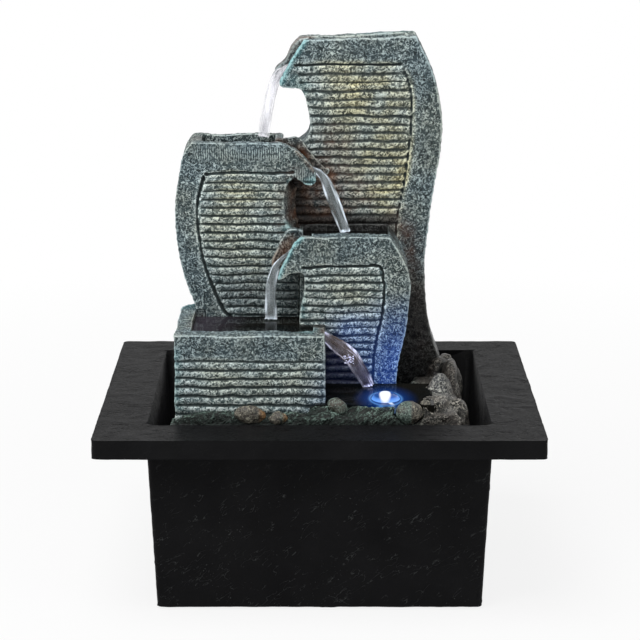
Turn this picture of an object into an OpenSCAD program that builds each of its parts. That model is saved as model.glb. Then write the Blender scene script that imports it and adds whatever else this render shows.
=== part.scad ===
// Tabletop water fountain: a drafted tub with a wide flat rim, a cast resin
// cascade of four ribbed slabs that stands in it, and a small pump below.
// Millimetres, +Z up, front towards -Y, origin at the bottom centre.

/* [Basin] */
// Height of the rim's top above the table
basin_h = 94; // [88:1:120]
// Width of the flat rim in front
rim_front = 24; // [20:0.5:25]
// Width of the flat rim at each side
rim_side = 24.5; // [20:0.5:27]
// Width of the flat rim at the back
rim_back = 18; // [14:0.5:19]
// Height of the rim's turned-down skirt
skirt_h = 9.6; // [6:0.2:14]
// Thickness of the rim plate and its skirt
rim_t = 2.2; // [1.6:0.1:3]
// Thickness of the tub's walls
wall = 1.6; // [1.2:0.1:2.4]
// Thickness of the tub's floor
floor_t = 2.2; // [1.8:0.1:3]
// Draft of the tub's walls in degrees
draft = 2.3; // [0.5:0.1:3]
// Corner radius of the rim and the tub
corner_r = 3; // [1:0.5:6]
// Distance between the ribs under the rim
rib_pitch = 18; // [12:1:30]
// Thickness of the ribs under the rim
rib_t = 1.5; // [1:0.1:2.5]

/* [Feet, pillars and cord outlet] */
// Radius of a rubber foot
foot_r = 7; // [5:0.5:9]
// Thickness of a rubber foot
foot_t = 2; // [1.4:0.1:4]
// Depth of the recess that holds a foot
foot_recess = 0.8; // [0.4:0.1:1.2]
// Distance of the feet from the tub's lower corners
foot_inset = 14; // [11:0.5:25]
// Radius of a pillar's top
pillar_r = 5.5; // [4:0.5:7]
// Draft angle of the pillars in degrees
pillar_draft = 1; // [0.5:0.1:1.5]
// Thickness of a pillar's wall
pillar_wall = 1.6; // [1.2:0.1:2.4]
// Distance of the pillars from the ends of the plinth
pillar_inset = 8; // [8:0.5:14]
// Thickness of the soft pads on the pillars
pad_t = 2; // [1:0.2:3]
// Bore of the cord grommet
cord_r = 2.6; // [2:0.1:3.5]
// Sleeve radius of the cord grommet
grommet_r = 4.4; // [4:0.1:6]
// Distance of the cord outlet from the centre line
cord_x = 46; // [-50:1:50]
// Height of the cord outlet below the rim's top
cord_drop = 18; // [17:0.5:30]

/* [Plinth] */
// Gap between the plinth and the tub's opening at each side
plinth_gap_x = 8; // [4:0.5:10]
// Gap between the plinth and the tub's opening in front
plinth_gap_front = 2; // [1:0.5:4]
// Gap between the plinth and the tub's opening at the back
plinth_gap_back = 10; // [6:0.5:12]
// Width of the plinth's edge left of the block
edge_left = 4; // [2:0.5:8]
// Width of the rocky ground right of the front slab
rocks_w = 28.5; // [24:0.5:40]
// Width of the plinth's edge behind the tower
edge_back = 20; // [14:0.5:26]
// Thickness of the plinth's bed
plinth_t = 12; // [10:0.5:16]
// Distance of the bed below the rim's top
bed_drop = 6; // [3:0.5:10]
// Depth of the hollow under the bed
hollow_h = 6; // [3:0.5:7]
// Width of the solid border round the hollow
hollow_border = 16; // [14:0.5:24]
// Height of the front pool's water line above the bed
pool_rise = 13; // [11:0.5:16]
// Depth of the front pool
pool_depth = 7; // [5:0.5:8]
// Height of the first rocky step above the bed
step_h = 3; // [2:0.5:4]

/* [Low block] */
// Width of the block
block_w = 71.3; // [64:0.1:76]
// Height of the block above the bed
block_h = 45.4; // [36:0.5:50]
// Distance of the block from the plinth's front edge
block_back = 11; // [8:0.5:14]
// Depth of the block in front of the left slab
block_d = 49; // [40:0.5:52]
// Thickness of the block's front wall
block_front = 10; // [6:0.5:14]
// Thickness of the block's left wall
block_side = 7.5; // [5:0.5:8]
// Length of the left wall beside the left slab
wing_l = 18; // [6:1:26]
// How much thicker that left wall is beside the left slab
wing_more = 5; // [3:0.5:8]
// Depth of the block's pool
block_pool = 9; // [6:0.5:16]
// Thickness of the block's right wall
block_end = 6; // [4:0.5:8]
// Width of the spill notch in the right wall
notch_w = 9; // [6:0.5:12]
// Distance of the spill notch from the block's front
notch_in = 17; // [12:0.5:20]
// Height of the plain band above the block's grooves
block_band = 12.2; // [8:0.2:16]
// Distance of the grooves on the block
block_groove = 4.3; // [3.6:0.1:6]

/* [Left slab] */
// Width of the left slab
left_w = 62; // [58:0.5:66]
// How far the front slab reaches across the block's right end
front_lap = 12.8; // [8:0.2:16]
// How far the tower reaches past the front slab's left edge
tower_lap = 8; // [6:0.5:12]
// How far the left slab reaches past the block's left end
left_lap = 1.5; // [0:0.1:3]
// Height of the left slab above the bed
left_h = 128.5; // [112:0.5:134]
// Depth of the left slab
left_d = 30; // [28:0.5:34]
// Thickness of its front plate
left_front = 6; // [4:0.5:7]
// Width of its beak's channel
left_chute = 6; // [4:0.5:6.5]
// Thickness of its back plate
left_back = 5; // [3:0.5:7]
// Distance of its ribs
left_pitch = 4.15; // [3.6:0.05:6]

/* [Front slab] */
// Width of the front slab
front_w = 54; // [48:0.5:58]
// Height of the front slab above the bed
front_h = 85.5; // [74:0.5:92]
// Depth of the front slab
front_d = 30; // [26:0.5:32]
// Thickness of its front plate
front_front = 9; // [6:0.5:11]
// Thickness of the front plate at its beak
front_beak = 4; // [3:0.5:5]
// Width of its beak's channel
front_chute = 7; // [4:0.5:7]
// Thickness of the wall behind its pool
front_back = 2; // [1.5:0.5:4]
// Distance of its ribs
front_pitch = 3.75; // [3.2:0.05:5]

/* [Tower] */
// Width of the tower
tower_w = 78; // [72:0.5:80]
// Height of the tower above the bed
tower_h = 178; // [150:1:190]
// Depth of the tower
tower_d = 24; // [23:0.5:28]
// How far the tower stands behind the left slab's face
tower_back = 14; // [13:0.5:16]
// Thickness of its front plate
tower_front = 5; // [4:0.5:6]
// Width of its pool from front to back
tower_pool = 12; // [12:0.5:13]
// Width of its beak's channel
tower_chute = 6; // [4:0.5:8]
// Distance of its ribs
tower_pitch = 4.1; // [3.6:0.05:6]

/* [Slab details] */
// Depth of the slabs' top pools
top_pool = 10; // [6:0.5:12]
// Depth of a rib's groove
groove_d = 1.2; // [0.8:0.1:1.8]
// Width of the line cut round the ribs
line_w = 1.6; // [0.8:0.1:2]
// Depth of the line cut round the ribs
line_d = 1.3; // [0.5:0.1:1.5]

/* [Riser] */
// Outer radius of the riser tube
tube_r = 5.5; // [5:0.1:5.8]
// Inner radius of the riser tube
tube_bore = 4; // [3.4:0.1:4.4]
// Distance of the riser tube from the tower's left edge
tube_x_in = 44; // [38:0.5:48]
// Width of the cover over the tube chase
cover_w = 27; // [26:0.5:34]
// Thickness of the cover
cover_t = 3; // [2:0.2:3.4]
// Shank radius of the cover's screws
screw_r = 1.4; // [1.2:0.1:1.6]

/* [Light] */
// Radius of the light's body
led_r = 8; // [7:0.5:9]
// Distance of the light from the front slab's left edge
led_x_in = 41.5; // [36:0.5:46]
// Distance of the light from the plinth's front edge
led_y_in = 18.5; // [17:0.5:22]
// Height of the light's domed lens
lens_h = 6.4; // [5:0.2:7]
// Width of the light's flange
led_flange = 1; // [0.8:0.1:1.2]

/* [Pump] */
// Width of the pump
pump_w = 34; // [33:0.5:37]
// Height of the pump without its cups
pump_h = 30; // [29:0.5:36]
// Length of the motor block
motor_l = 27; // [26:0.5:31]
// Length of the impeller chamber's block
volute_l = 12; // [11:0.5:14]
// Length of the intake cover
strainer_l = 14; // [12:0.5:18]
// Wall of the intake cover
strainer_wall = 1.6; // [1.2:0.1:2.2]
// Radius of the rotor's magnet
magnet_r = 6; // [5:0.1:6.4]
// Radius of the impeller
impeller_r = 10; // [8:0.1:10.6]
// Number of impeller blades
blades = 6; // [4:1:8]
// Radius of the rotor's shaft
shaft_r = 1; // [0.8:0.1:1.5]
// Height of the suction cups
cup_h = 6; // [4:0.5:8]
// Radius of the suction cups
cup_r = 6; // [5:0.5:7]
// Length of the outlet nozzle
nozzle_l = 14; // [10:0.5:18]
// Radius of the flow dial
dial_r = 7.5; // [7:0.1:9]

/* [Clearances] */
// Gap between pieces that only rest near each other
gap = 0.3; // [0.2:0.05:0.4]
// Radial clearance of a shaft or a plug-in tube
run = 0.05; // [0.03:0.01:0.08]

/* [Hidden] */
$fn = 48;
// plan of the plinth and the tub, from what stands in them
plinth_w = edge_left + block_w - front_lap + front_w + rocks_w;
plinth_d = block_back + block_d + tower_back + tower_d + edge_back;
open_w = plinth_w + 2 * plinth_gap_x;
open_d = plinth_d + plinth_gap_front + plinth_gap_back;
basin_w = open_w + 2 * rim_side;
basin_d = open_d + rim_front + rim_back;
// tub
foot_out = foot_t - foot_recess;
floor_z = foot_out + floor_t;
open_y = (rim_front - rim_back) / 2;
foot_x = open_w / 2 + wall - inset_at(foot_out) - foot_inset;
foot_y = open_d / 2 + wall - inset_at(foot_out) - foot_inset;
cord_z = basin_h - cord_drop;
cord_y = open_y + open_d / 2 + wall / 2 - inset_at(cord_z);
// plinth
plinth_x = -plinth_w / 2;
plinth_y = open_y - open_d / 2 + plinth_gap_front;
bed_z = basin_h - bed_drop;
under_z = bed_z - plinth_t;
pillar_x = plinth_w / 2 - pillar_inset;
pillar_y = plinth_d / 2 - pillar_inset;
plinth_cy = plinth_y + plinth_d / 2;
pool_z = bed_z + pool_rise;
pool_floor = pool_z - pool_depth;
// slabs, from the front to the back
block_x = plinth_x + edge_left;
block_y = plinth_y + block_back;
left_y = block_y + block_d;
left_x = block_x - left_lap;
front_x = block_x + block_w - front_lap;
tower_y = left_y + tower_back;
front_y = tower_y - front_d;
tower_x = front_x - tower_lap;
// riser and light
tube_x = tower_x + tube_x_in;
tube_y = tower_y + tower_front + tower_pool / 2;
chase_w = 2 * tube_r + 2;
tower_floor = bed_z + tower_h - top_pool - 2;
chase_top = tower_floor - 5;
cover_lo = bed_z + 5;
cover_hi = chase_top + 8;
led_x = front_x + led_x_in;
led_y = plinth_y + led_y_in;
ring_w = 2.6;
lens_sunk = 3.6;
lens_edge = 2;
stone_away = led_r + led_flange + gap + 0.1;
rib_over = 10;
// a groove's reach above and below its bottom, in shares of its depth
groove_up = 0.35;
groove_down = 1.7;
wing_r = wing_l - 2;
// shares of a slab's height: tops of the ribbed panels, foot of the left slab's hollow
tower_rib = 0.922;
left_rib = 0.883;
front_rib = 0.825;
hollow_foot = 0.645;
// pump, whose axis runs along X below the riser tube
pump_lo = floor_z + cup_h;
pump_hi = pump_lo + pump_h;
pump_z = pump_lo + pump_h / 2;
volute_x = tube_x - volute_l / 2;
motor_x = tube_x + volute_l / 2;
well_r = magnet_r + 1;
well_l = motor_l - 4;
chamber_r = impeller_r + 1.5;
chamber_l = volute_l - 4;
spigot_l = 3;
seat_h = 1.5;
gland_x = motor_x + motor_l - 9;
window_at = 4.7;
window_r = 1.6;
strainer_x = volute_x - gap - strainer_l;
nozzle_r = tube_bore - run;

// Outlines in shares (percent) of a slab's width and of its height above the bed.
// Tower: right edge upwards, then the front beak downwards from the top
TOWER_RIGHT = [[104.7, 0], [101, 8], [95.3, 16], [91.5, 24], [90, 35], [91, 44], [94.3, 55], [98, 65],
    [100, 73], [99.3, 80], [95.3, 88], [87.7, 96], [83.4, 100]];
TOWER_BEAK = [[13.2, 99], [6.6, 94.7], [1.8, 91], [-1.7, 87.6], [-1, 86.2], [1.3, 85.6], [10.3, 85.6]];
TOWER_LEFT = [[10.3, 85.6], [12.7, 84.6], [14.6, 82], [16.3, 78], [16.8, 74.5], [14, 71.5], [6, 69],
    [1, 65.5], [0, 60]];
TOWER_BACK_BEAK = [[10.5, 98.7], [5, 96.2], [1, 92.4], [-5, 89.7], [-4.4, 87.2], [-2.5, 86.2],
    [10.3, 85.6]];
TOWER_FLUME = [[14.6, 96], [8, 91.5], [2.8, 88.3], [-3.4, 86.2]];
TOWER_PANEL = [[74, 92.2], [79, 86], [80.7, 80], [80, 72], [77.2, 62.5], [74.4, 56], [72, 50], [70.6, 40]];
// Left slab: left edge upwards, then the beak and the hollow side below it
LEFT_LEFT = [[23, 0], [21, 16], [15.5, 34.5], [8, 45], [2.5, 55], [-0.5, 69], [0.5, 81], [5.6, 94.2],
    [12.9, 99.8]];
LEFT_BEAK = [[82, 100], [95, 97], [102, 94], [109.4, 89.5], [110.2, 85], [106, 83.3], [100, 84],
    [93.7, 86.6]];
LEFT_HOLLOW = [[93.7, 86.6], [87.5, 83.3], [85, 76.7], [85.3, 71.5], [89, 67.5], [96.8, 64.6]];
LEFT_BACK_BEAK = [[82, 100], [95.6, 100.5], [103.7, 96.5], [111.6, 91.4], [117, 88.6], [120.5, 87.9],
    [119, 85.5], [108, 84.5], [93.7, 86.6]];
LEFT_FLUME = [[80, 93.5], [91, 92.2], [100, 89.5], [107, 86.5], [125, 84]];
LEFT_PANEL = [[22.7, 88.3], [19, 81], [17.1, 73.8], [18.4, 64], [21, 54.6], [28.5, 44], [38, 34.5],
    [48, 31]];
// Front slab: right edge upwards, then the beak and the left edge downwards
FRONT_RIGHT = [[87, 0], [89, 19], [91.7, 31.6], [96, 46], [98.5, 59], [100, 70], [98.7, 77.2],
    [95.4, 84], [88, 93.5], [81.5, 100]];
FRONT_BEAK = [[2, 100], [-6, 95], [-14.6, 84.6], [-19.3, 75.7], [-15.6, 74.7], [-7, 78.5], [1.7, 79.3],
    [3.7, 78], [5, 74.6], [4.4, 66], [1.7, 59], [0, 53]];
FRONT_BACK_BEAK = [[2, 101.2], [-9.3, 101.2], [-16.7, 95.8], [-20, 89.8], [-25, 82], [-21, 78],
    [-7, 78.5], [0, 78.5]];
FRONT_FLUME = [[4, 92], [-3, 88.5], [-10, 82], [-15, 76.5], [-30, 73]];
FRONT_PANEL = [[2, 82.5], [50, 82.8], [71.9, 82.8], [75.6, 75.7], [76.5, 67.4], [74.8, 54.4],
    [70.4, 42.3], [67, 29], [66, 7]];
// Plan of the plinth and its rocky steps, in shares of the plinth's width and depth
PLINTH_PLAN = [[3, 3], [18, 0], [40, 1.5], [60, 0], [82, 1], [96, 5], [100, 24], [98, 50], [100, 78],
    [94, 97], [70, 100], [45, 98], [18, 100], [3, 95], [0, 70], [2, 40]];
STEP_1 = [[2, 2], [20, 0.5], [42, 2], [62, 0.5], [86, 1.5], [97, 8], [99, 30], [97, 55], [98, 78],
    [84, 88], [72, 60], [50, 40], [20, 30], [4, 22]];
STEP_2 = [[44, 3.5], [56, 1.6], [72, 1.4], [88, 3], [95, 10], [96.5, 30], [94, 50], [94, 68], [88, 74],
    [82, 60], [76, 40], [60, 36], [46, 30]];
STEP_3 = [[46, 9], [52, 6], [60, 6.5], [66, 3.6], [76, 3], [86, 6], [92, 14], [93, 32], [91, 46],
    [84, 50], [80, 40], [70, 36], [50, 36]];
POOL_PLAN = [[44, 13], [52, 8.5], [60, 9], [68, 6.4], [76, 8], [82, 14], [85.5, 26], [83, 38], [70, 45],
    [44, 45]];

// Stones in front: x and y from the block's left end and the plinth's front edge, height above
// the bed, width and height of the stone
STONES = [[33.7, 6, 3, 8.4, 6], [49.6, 5.4, 2.6, 6.4, 4.4], [77, 7.6, 8.4, 8.6, 7]];
// Stones round the light: direction from it in degrees, distance, then as above
LIGHT_STONES = [[-49, 0, 4, 13, 11], [-21, 10.5, 9, 6, 5]];

// Rocks: how far from the plinth's right end and front edge, turn in degrees, length, width,
// height and lean of the top
ROCKS = [[13.5, 36, 12, 12.5, 14, 20.5, -0.8], [8, 80, 8, 11, 15, 19, -1], [5.5, 66, -10, 9, 14, 15, 0.5],
    [5.5, 26, 15, 10, 14, 11, -0.5], [7.5, 50, 25, 11, 12, 14, -1], [15, 16, 0, 9, 9, 11, 0.6]];

// Half of a wall's lean at a height: how far it has moved in from the opening
function inset_at(z) = (basin_h - z) * tan(draft);

// One point of a smooth curve through a, b, c and d, between b and c
function blend(a, b, c, d, t) = 0.5 * (2 * b + (c - a) * t + (2 * a - 5 * b + 4 * c - d) * t * t
    + (3 * b - a - 3 * c + d) * t * t * t);

// Smooth curve through the points p, in n steps from each point to the next
function curve(p, n = 4) = let (k = len(p) - 1) [for (i = [0:k - 1], j = [0:i == k - 1 ? n : n - 1])
    blend(i == 0 ? 2 * p[0] - p[1] : p[i - 1], p[i], p[i + 1], i == k - 1 ? 2 * p[k] - p[k - 1] : p[i + 2],
        j / n)];

// Smooth closed curve through the points p
function ring(p, n = 4) = let (k = len(p)) [for (i = [0:k - 1], j = [0:n - 1])
    blend(p[(i + k - 1) % k], p[i], p[(i + 1) % k], p[(i + 2) % k], j / n)];

// A list of points in reverse order
function back(p) = [for (i = [len(p) - 1:-1:0]) p[i]];

// Places shares of a slab's width and height
function tower_at(p) = [for (q = p) [tower_x + q[0] * tower_w / 100, bed_z + q[1] * tower_h / 100]];
function left_at(p) = [for (q = p) [left_x + q[0] * left_w / 100, bed_z + q[1] * left_h / 100]];
function front_at(p) = [for (q = p) [front_x + q[0] * front_w / 100, bed_z + q[1] * front_h / 100]];
function plan_at(p) = [for (q = p) [plinth_x + q[0] * plinth_w / 100, plinth_y + q[1] * plinth_d / 100]];

// Band of width w along the path p
function normal(p, i) = let (d = p[min(i + 1, len(p) - 1)] - p[max(i - 1, 0)]) [-d[1], d[0]] / norm(d);
function band(p, w) = concat([for (i = [0:len(p) - 1]) p[i] + normal(p, i) * w / 2],
    back([for (i = [0:len(p) - 1]) p[i] - normal(p, i) * w / 2]));

// Rectangle with round corners
module rrect(w, h, r) {
    square([w - 2 * r, h], center = true);
    square([w, h - 2 * r], center = true);
    for (x = [-1, 1], y = [-1, 1])
        translate([x * (w / 2 - r), y * (h / 2 - r)])
            circle(r);
}

// Upright plate with the outline p (in X and Z) from y0 to y1
module plate(y0, y1, p) {
    translate([0, y1, 0])
        rotate([90, 0, 0])
            linear_extrude(y1 - y0)
                polygon(p);
}

// Block between two corners
module box(a, b) {
    translate(a)
        cube(b - a);
}

// Round bar along X
module bar_x(x0, x1, r) {
    translate([x0, tube_y, pump_z])
        rotate([0, 90, 0])
            cylinder(r = r, h = x1 - x0);
}

// Bar along X with the pump's section, less d all round
module pump_bar(x0, x1, d = 0) {
    translate([x0, tube_y, pump_z])
        rotate([90, 0, 90])
            linear_extrude(x1 - x0)
                rrect(pump_w - 2 * d, pump_h - 2 * d, max(4 - d, 1));
}

// Drafted block from za to zb, o outside the tub's opening at the rim's top
module draft_block(o, za, zb) {
    hull()
        for (z = [za, zb - 0.01])
            translate([0, open_y, z])
                linear_extrude(0.01)
                    rrect(open_w + 2 * (o - inset_at(z)), open_d + 2 * (o - inset_at(z)), corner_r);
}

// Grooves across a face at y, at the heights zs, inside the outline p
module grooves(y, p, zs, depth = groove_d) {
    intersection() {
        plate(y - 1, y + depth + 1, p);
        for (z = zs)
            translate([left_x - rib_over, y, z])
                v_cut(basin_w, depth);
    }
}

// Cutter of length l along X: its groove has a steep upper wall and a long slope below, so that
// each rib leans out to its lower edge
module v_cut(l, depth) {
    up = groove_up * depth;
    down = groove_down * depth;
    rotate([90, 0, 90])
        linear_extrude(l)
            polygon([[-1, up], [0, up], [depth, 0], [0, -down], [-1, -down]]);
}

module basin() {
    color("#191a1c") {
        difference() {
            union() {
                difference() {
                    translate([0, 0, basin_h - skirt_h])
                        linear_extrude(skirt_h)
                            rrect(basin_w, basin_d, corner_r);
                    translate([0, 0, basin_h - skirt_h - 1])
                        linear_extrude(skirt_h - rim_t + 1)
                            rrect(basin_w - 2 * rim_t, basin_d - 2 * rim_t, max(corner_r - rim_t, 0.5));
                }
                rim_ribs();
                draft_block(wall, foot_out, basin_h);
            }
            draft_block(0, floor_z, basin_h + 0.5);
            for (x = [-foot_x, foot_x], y = [-foot_y, foot_y])
                translate([x, open_y + y, 0])
                    cylinder(r = foot_r + 0.1, h = foot_out + foot_recess);
            translate([cord_x, cord_y - 5, cord_z])
                rotate([-90, 0, 0])
                    cylinder(r = grommet_r, h = 10);
        }
        for (x = [-pillar_x, pillar_x], y = [-pillar_y, pillar_y])
            translate([x, plinth_cy + y, floor_z])
                pillar(under_z - pad_t - gap - floor_z);
    }
}

// Stiffening ribs between the skirt and the tub
module rim_ribs() {
    nx = floor((basin_w - 12) / rib_pitch / 2);
    ny = floor((basin_d - 12) / rib_pitch / 2);
    lo = basin_h - skirt_h;
    for (i = [-nx:nx])
        box([i * rib_pitch - rib_t / 2, -basin_d / 2 + rim_t / 2, lo],
            [i * rib_pitch + rib_t / 2, basin_d / 2 - rim_t / 2, basin_h - rim_t / 2]);
    for (i = [-ny:ny])
        box([-basin_w / 2 + rim_t / 2, i * rib_pitch - rib_t / 2, lo],
            [basin_w / 2 - rim_t / 2, i * rib_pitch + rib_t / 2, basin_h - rim_t / 2]);
}

// Hollow drafted pillar that carries a pad of the plinth
module pillar(h) {
    low = pillar_r + h * tan(pillar_draft);
    difference() {
        cylinder(r1 = low, r2 = pillar_r, h = h);
        translate([0, 0, h - 12])
            cylinder(r = pillar_r - pillar_wall, h = 13);
    }
}

module basin_feet() {
    color("#101010")
        for (x = [-foot_x, foot_x], y = [-foot_y, foot_y])
            translate([x, open_y + y, 0]) {
                cylinder(r1 = foot_r - 0.6, r2 = foot_r, h = 0.6);
                translate([0, 0, 0.6])
                    cylinder(r = foot_r, h = foot_t - 0.6);
            }
}

module cord_grommet() {
    half = wall / 2 + gap;
    color("#0d0d0d")
        translate([cord_x, cord_y, cord_z])
            rotate([-90, 0, 0])
                rotate_extrude()
                    polygon([[cord_r, -half - 1.6], [grommet_r + 1, -half - 1.6], [grommet_r + 1.6, -half - 1],
                        [grommet_r + 1.6, -half], [grommet_r - 0.1, -half], [grommet_r - 0.1, half],
                        [grommet_r + 1.6, half], [grommet_r + 1.6, half + 1], [grommet_r + 1, half + 1.6],
                        [cord_r, half + 1.6]]);
}

module pump_housing() {
    color("#1e2124")
        difference() {
            union() {
                pump_bar(motor_x, motor_x + motor_l);
                translate([gland_x, tube_y, pump_hi - 1])
                    linear_extrude(4)
                        rrect(12, 12, 2);
            }
            bar_x(motor_x - 1, motor_x + well_l, well_r);
            bar_x(motor_x + well_l - 1, motor_x + well_l + 2, 2.5 + run);
            cup_places()
                cylinder(r = 2, h = 3);
            translate([gland_x, tube_y, pump_hi - 3])
                cylinder(r = 3, h = 10);
        }
}

// The four places of the suction cups on the pump's underside
module cup_places() {
    for (x = [motor_x + cup_r + 0.5, motor_x + motor_l - cup_r - 1], y = [-1, 1])
        translate([x, tube_y + y * (pump_w / 2 - cup_r - 1), pump_lo])
            children();
}

module suction_cups() {
    color("#2b2b2b")
        cup_places()
            translate([0, 0, -cup_h])
                rotate_extrude()
                    polygon([[0, 2], [cup_r - 2, 1.2], [cup_r - 0.8, 0], [cup_r, 0], [cup_r - 0.8, 1.6],
                        [3.4, cup_h - 1.6], [3.4, cup_h], [2 - run, cup_h], [2 - run, cup_h + 2.6],
                        [0, cup_h + 2.6]]);
}

module rotor_shaft() {
    color("#e8e4da")
        bar_x(volute_x + 0.8, motor_x + well_l + 1.6, shaft_r);
}

module shaft_bushes() {
    color("#3a3a3a") {
        difference() {
            bar_x(motor_x + well_l - 1, motor_x + well_l + 2, 2.5);
            bar_x(motor_x + well_l - 2, motor_x + well_l + 1.6, shaft_r);
        }
        difference() {
            bar_x(volute_x + 0.6, volute_x + 3.4, 1.8);
            bar_x(volute_x + 0.8, volute_x + 5, shaft_r);
        }
    }
}

module chamber_seal() {
    color("#0c0c0c")
        translate([motor_x - 0.8, tube_y, pump_z])
            rotate([0, 90, 0])
                rotate_extrude()
                    translate([chamber_r + 1.7, 0])
                        circle(0.8);
}

module volute() {
    color("#23272b") {
        difference() {
            union() {
                pump_bar(volute_x, motor_x);
                pump_bar(volute_x - spigot_l, volute_x + 1, strainer_wall + gap);
                translate([tube_x, tube_y, pump_hi - 1])
                    cylinder(r = tube_r, h = 1 + seat_h);
                translate([tube_x, tube_y, pump_hi])
                    cylinder(r = nozzle_r, h = nozzle_l - 2);
                translate([tube_x, tube_y, pump_hi + nozzle_l - 2])
                    cylinder(r1 = nozzle_r, r2 = nozzle_r - 0.7, h = 2);
            }
            bar_x(motor_x - chamber_l, motor_x + 1, chamber_r);
            bar_x(volute_x - spigot_l - 1, motor_x, 5);
            translate([tube_x, tube_y, pump_z + chamber_r - 2])
                cylinder(r = nozzle_r - 1.3, h = pump_h);
            translate([motor_x - 1.6, tube_y, pump_z])
                rotate([0, 90, 0])
                    rotate_extrude()
                        translate([chamber_r + 0.9, 0])
                            square([1.6, 2]);
        }
        // spider that holds the front bush in the intake
        difference() {
            union() {
                bar_x(volute_x, volute_x + 3.6, 2.8);
                for (a = [0:120:240])
                    translate([volute_x, tube_y, pump_z])
                        rotate([a, 0, 0])
                            translate([0, -0.6, 2])
                                cube([3.6, 1.2, 3.4]);
            }
            bar_x(volute_x + 0.6, volute_x + 5, 1.8 + run);
        }
    }
}

module pump_gland() {
    color("#111111")
        translate([gland_x, tube_y, pump_hi - 3])
            rotate_extrude()
                polygon([[1.6, 0], [3 - run, 0], [3 - run, 6], [3.8, 6], [3.8, 7.4], [2.6, 11], [1.6, 11]]);
}

module rotor_magnet() {
    color("#4a4643")
        difference() {
            bar_x(motor_x + 1.5, motor_x + well_l - 2.2, magnet_r);
            bar_x(motor_x, motor_x + well_l, shaft_r + run);
        }
}

module impeller() {
    hub_x = motor_x - 0.6;
    color("#d9d9d4")
        difference() {
            union() {
                bar_x(hub_x - 1.2, hub_x, impeller_r);
                bar_x(hub_x - 5.4, motor_x + 1.5, 3.2);
                for (i = [0:blades - 1])
                    translate([hub_x - 5.4, tube_y, pump_z])
                        rotate([i * 360 / blades, 0, 0])
                            translate([0, -0.6, 2.4])
                                cube([5, 1.2, impeller_r - 2.8]);
            }
            bar_x(hub_x - 7, motor_x + 2, shaft_r + run);
        }
}

// Box-shaped intake cover that slides off the spigot of the volute
module strainer() {
    x1 = strainer_x + strainer_l;
    n = 4;
    step = (strainer_l - 5) / n;
    color("#1b1e21")
        difference() {
            pump_bar(strainer_x, x1);
            pump_bar(strainer_x + strainer_wall, x1 + 1, strainer_wall);
            for (i = [0:n - 1]) {
                x = strainer_x + 3 + i * step;
                box([x, tube_y - pump_w, pump_lo + 5], [x + step / 2, tube_y + pump_w, pump_hi - 5]);
                box([x, tube_y - pump_w / 2 + 5, pump_z], [x + step / 2, tube_y + pump_w / 2 - 5, pump_hi + 5]);
            }
            for (y = [-1, 1], i = [0:2])
                box([strainer_x - 1, tube_y + y * (dial_r + 1.8 + i * 2.4) - 0.6, pump_lo + 5],
                    [strainer_x + strainer_wall + 1, tube_y + y * (dial_r + 1.8 + i * 2.4) + 0.6, pump_hi - 5]);
            bar_x(strainer_x - 1, strainer_x + strainer_wall + 1, 2);
            for (y = [-1, 1])
                translate([0, y * window_at, 0])
                    bar_x(strainer_x - 1, strainer_x + strainer_wall + 1, window_r);
        }
}

// Dial with two windows that turns on a pin in the strainer's front
module flow_dial() {
    x0 = strainer_x - gap - 1.6;
    color("#3f6fa8") {
        difference() {
            bar_x(x0, x0 + 1.6, dial_r);
            for (y = [-1, 1])
                translate([0, y * window_at, 0])
                    bar_x(x0 - 1, x0 + 3, window_r);
        }
        box([x0 - 2, tube_y - 0.9, pump_z - dial_r + 0.6], [x0 + 0.2, tube_y + 0.9, pump_z + dial_r - 0.6]);
        bar_x(x0 + 1, strainer_x + strainer_wall + gap + 1, 2 - run);
        bar_x(strainer_x + strainer_wall + gap, strainer_x + strainer_wall + gap + 1, 2.6);
    }
}

module plinth() {
    color("#3c443f")
        difference() {
            union() {
                translate([0, 0, under_z])
                    linear_extrude(plinth_t)
                        polygon(ring(plan_at(PLINTH_PLAN)));
                step(STEP_1, bed_z - 1, bed_z + step_h);
                step(STEP_2, bed_z + step_h - 1, bed_z + pool_rise * 0.62);
                step(STEP_3, bed_z + step_h, pool_z - 0.4);
                side_rocks();
            }
            translate([0, 0, pool_floor])
                linear_extrude(pool_depth + 1)
                    polygon(ring(plan_at(POOL_PLAN)));
            translate([0, plinth_cy, under_z - 1])
                linear_extrude(hollow_h + 1)
                    rrect(plinth_w - 2 * hollow_border, plinth_d - 2 * hollow_border, 8);
            slab_room();
            stones(gap);
            translate([tube_x, tube_y, under_z - 1])
                cylinder(r = tube_r + 0.5, h = plinth_t + 2);
            translate([led_x, led_y, under_z - 1])
                cylinder(r = led_r + 0.1, h = pool_z - under_z + 2);
            translate([led_x, led_y, pool_floor])
                cylinder(r = led_r + led_flange + gap, h = pool_depth + 1);
            translate([led_x, led_y, under_z - 1])
                cylinder(r = led_r + ring_w + gap, h = hollow_h + 1);
        }
}

// One rocky step of the plinth
module step(p, z0, z1) {
    translate([0, 0, z0])
        linear_extrude(z1 - z0)
            polygon(ring(plan_at(p)));
}

// Room of the slabs above the bed
module slab_room() {
    box([block_x, block_y, bed_z], [block_x + block_w, left_y, pool_z + 2]);
    box([block_x, left_y - 1, bed_z], [tower_x + tower_w, tower_y + tower_d, bed_z + 3]);
    plate(front_y, tower_y, front_outline());
    plate(tower_y, tower_y + tower_d, tower_outline(TOWER_BEAK));
}

module plinth_pads() {
    color("#26282a")
        for (x = [-pillar_x, pillar_x], y = [-pillar_y, pillar_y])
            translate([x, plinth_cy + y, under_z - pad_t])
                cylinder(r = pillar_r, h = pad_t);
}

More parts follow.
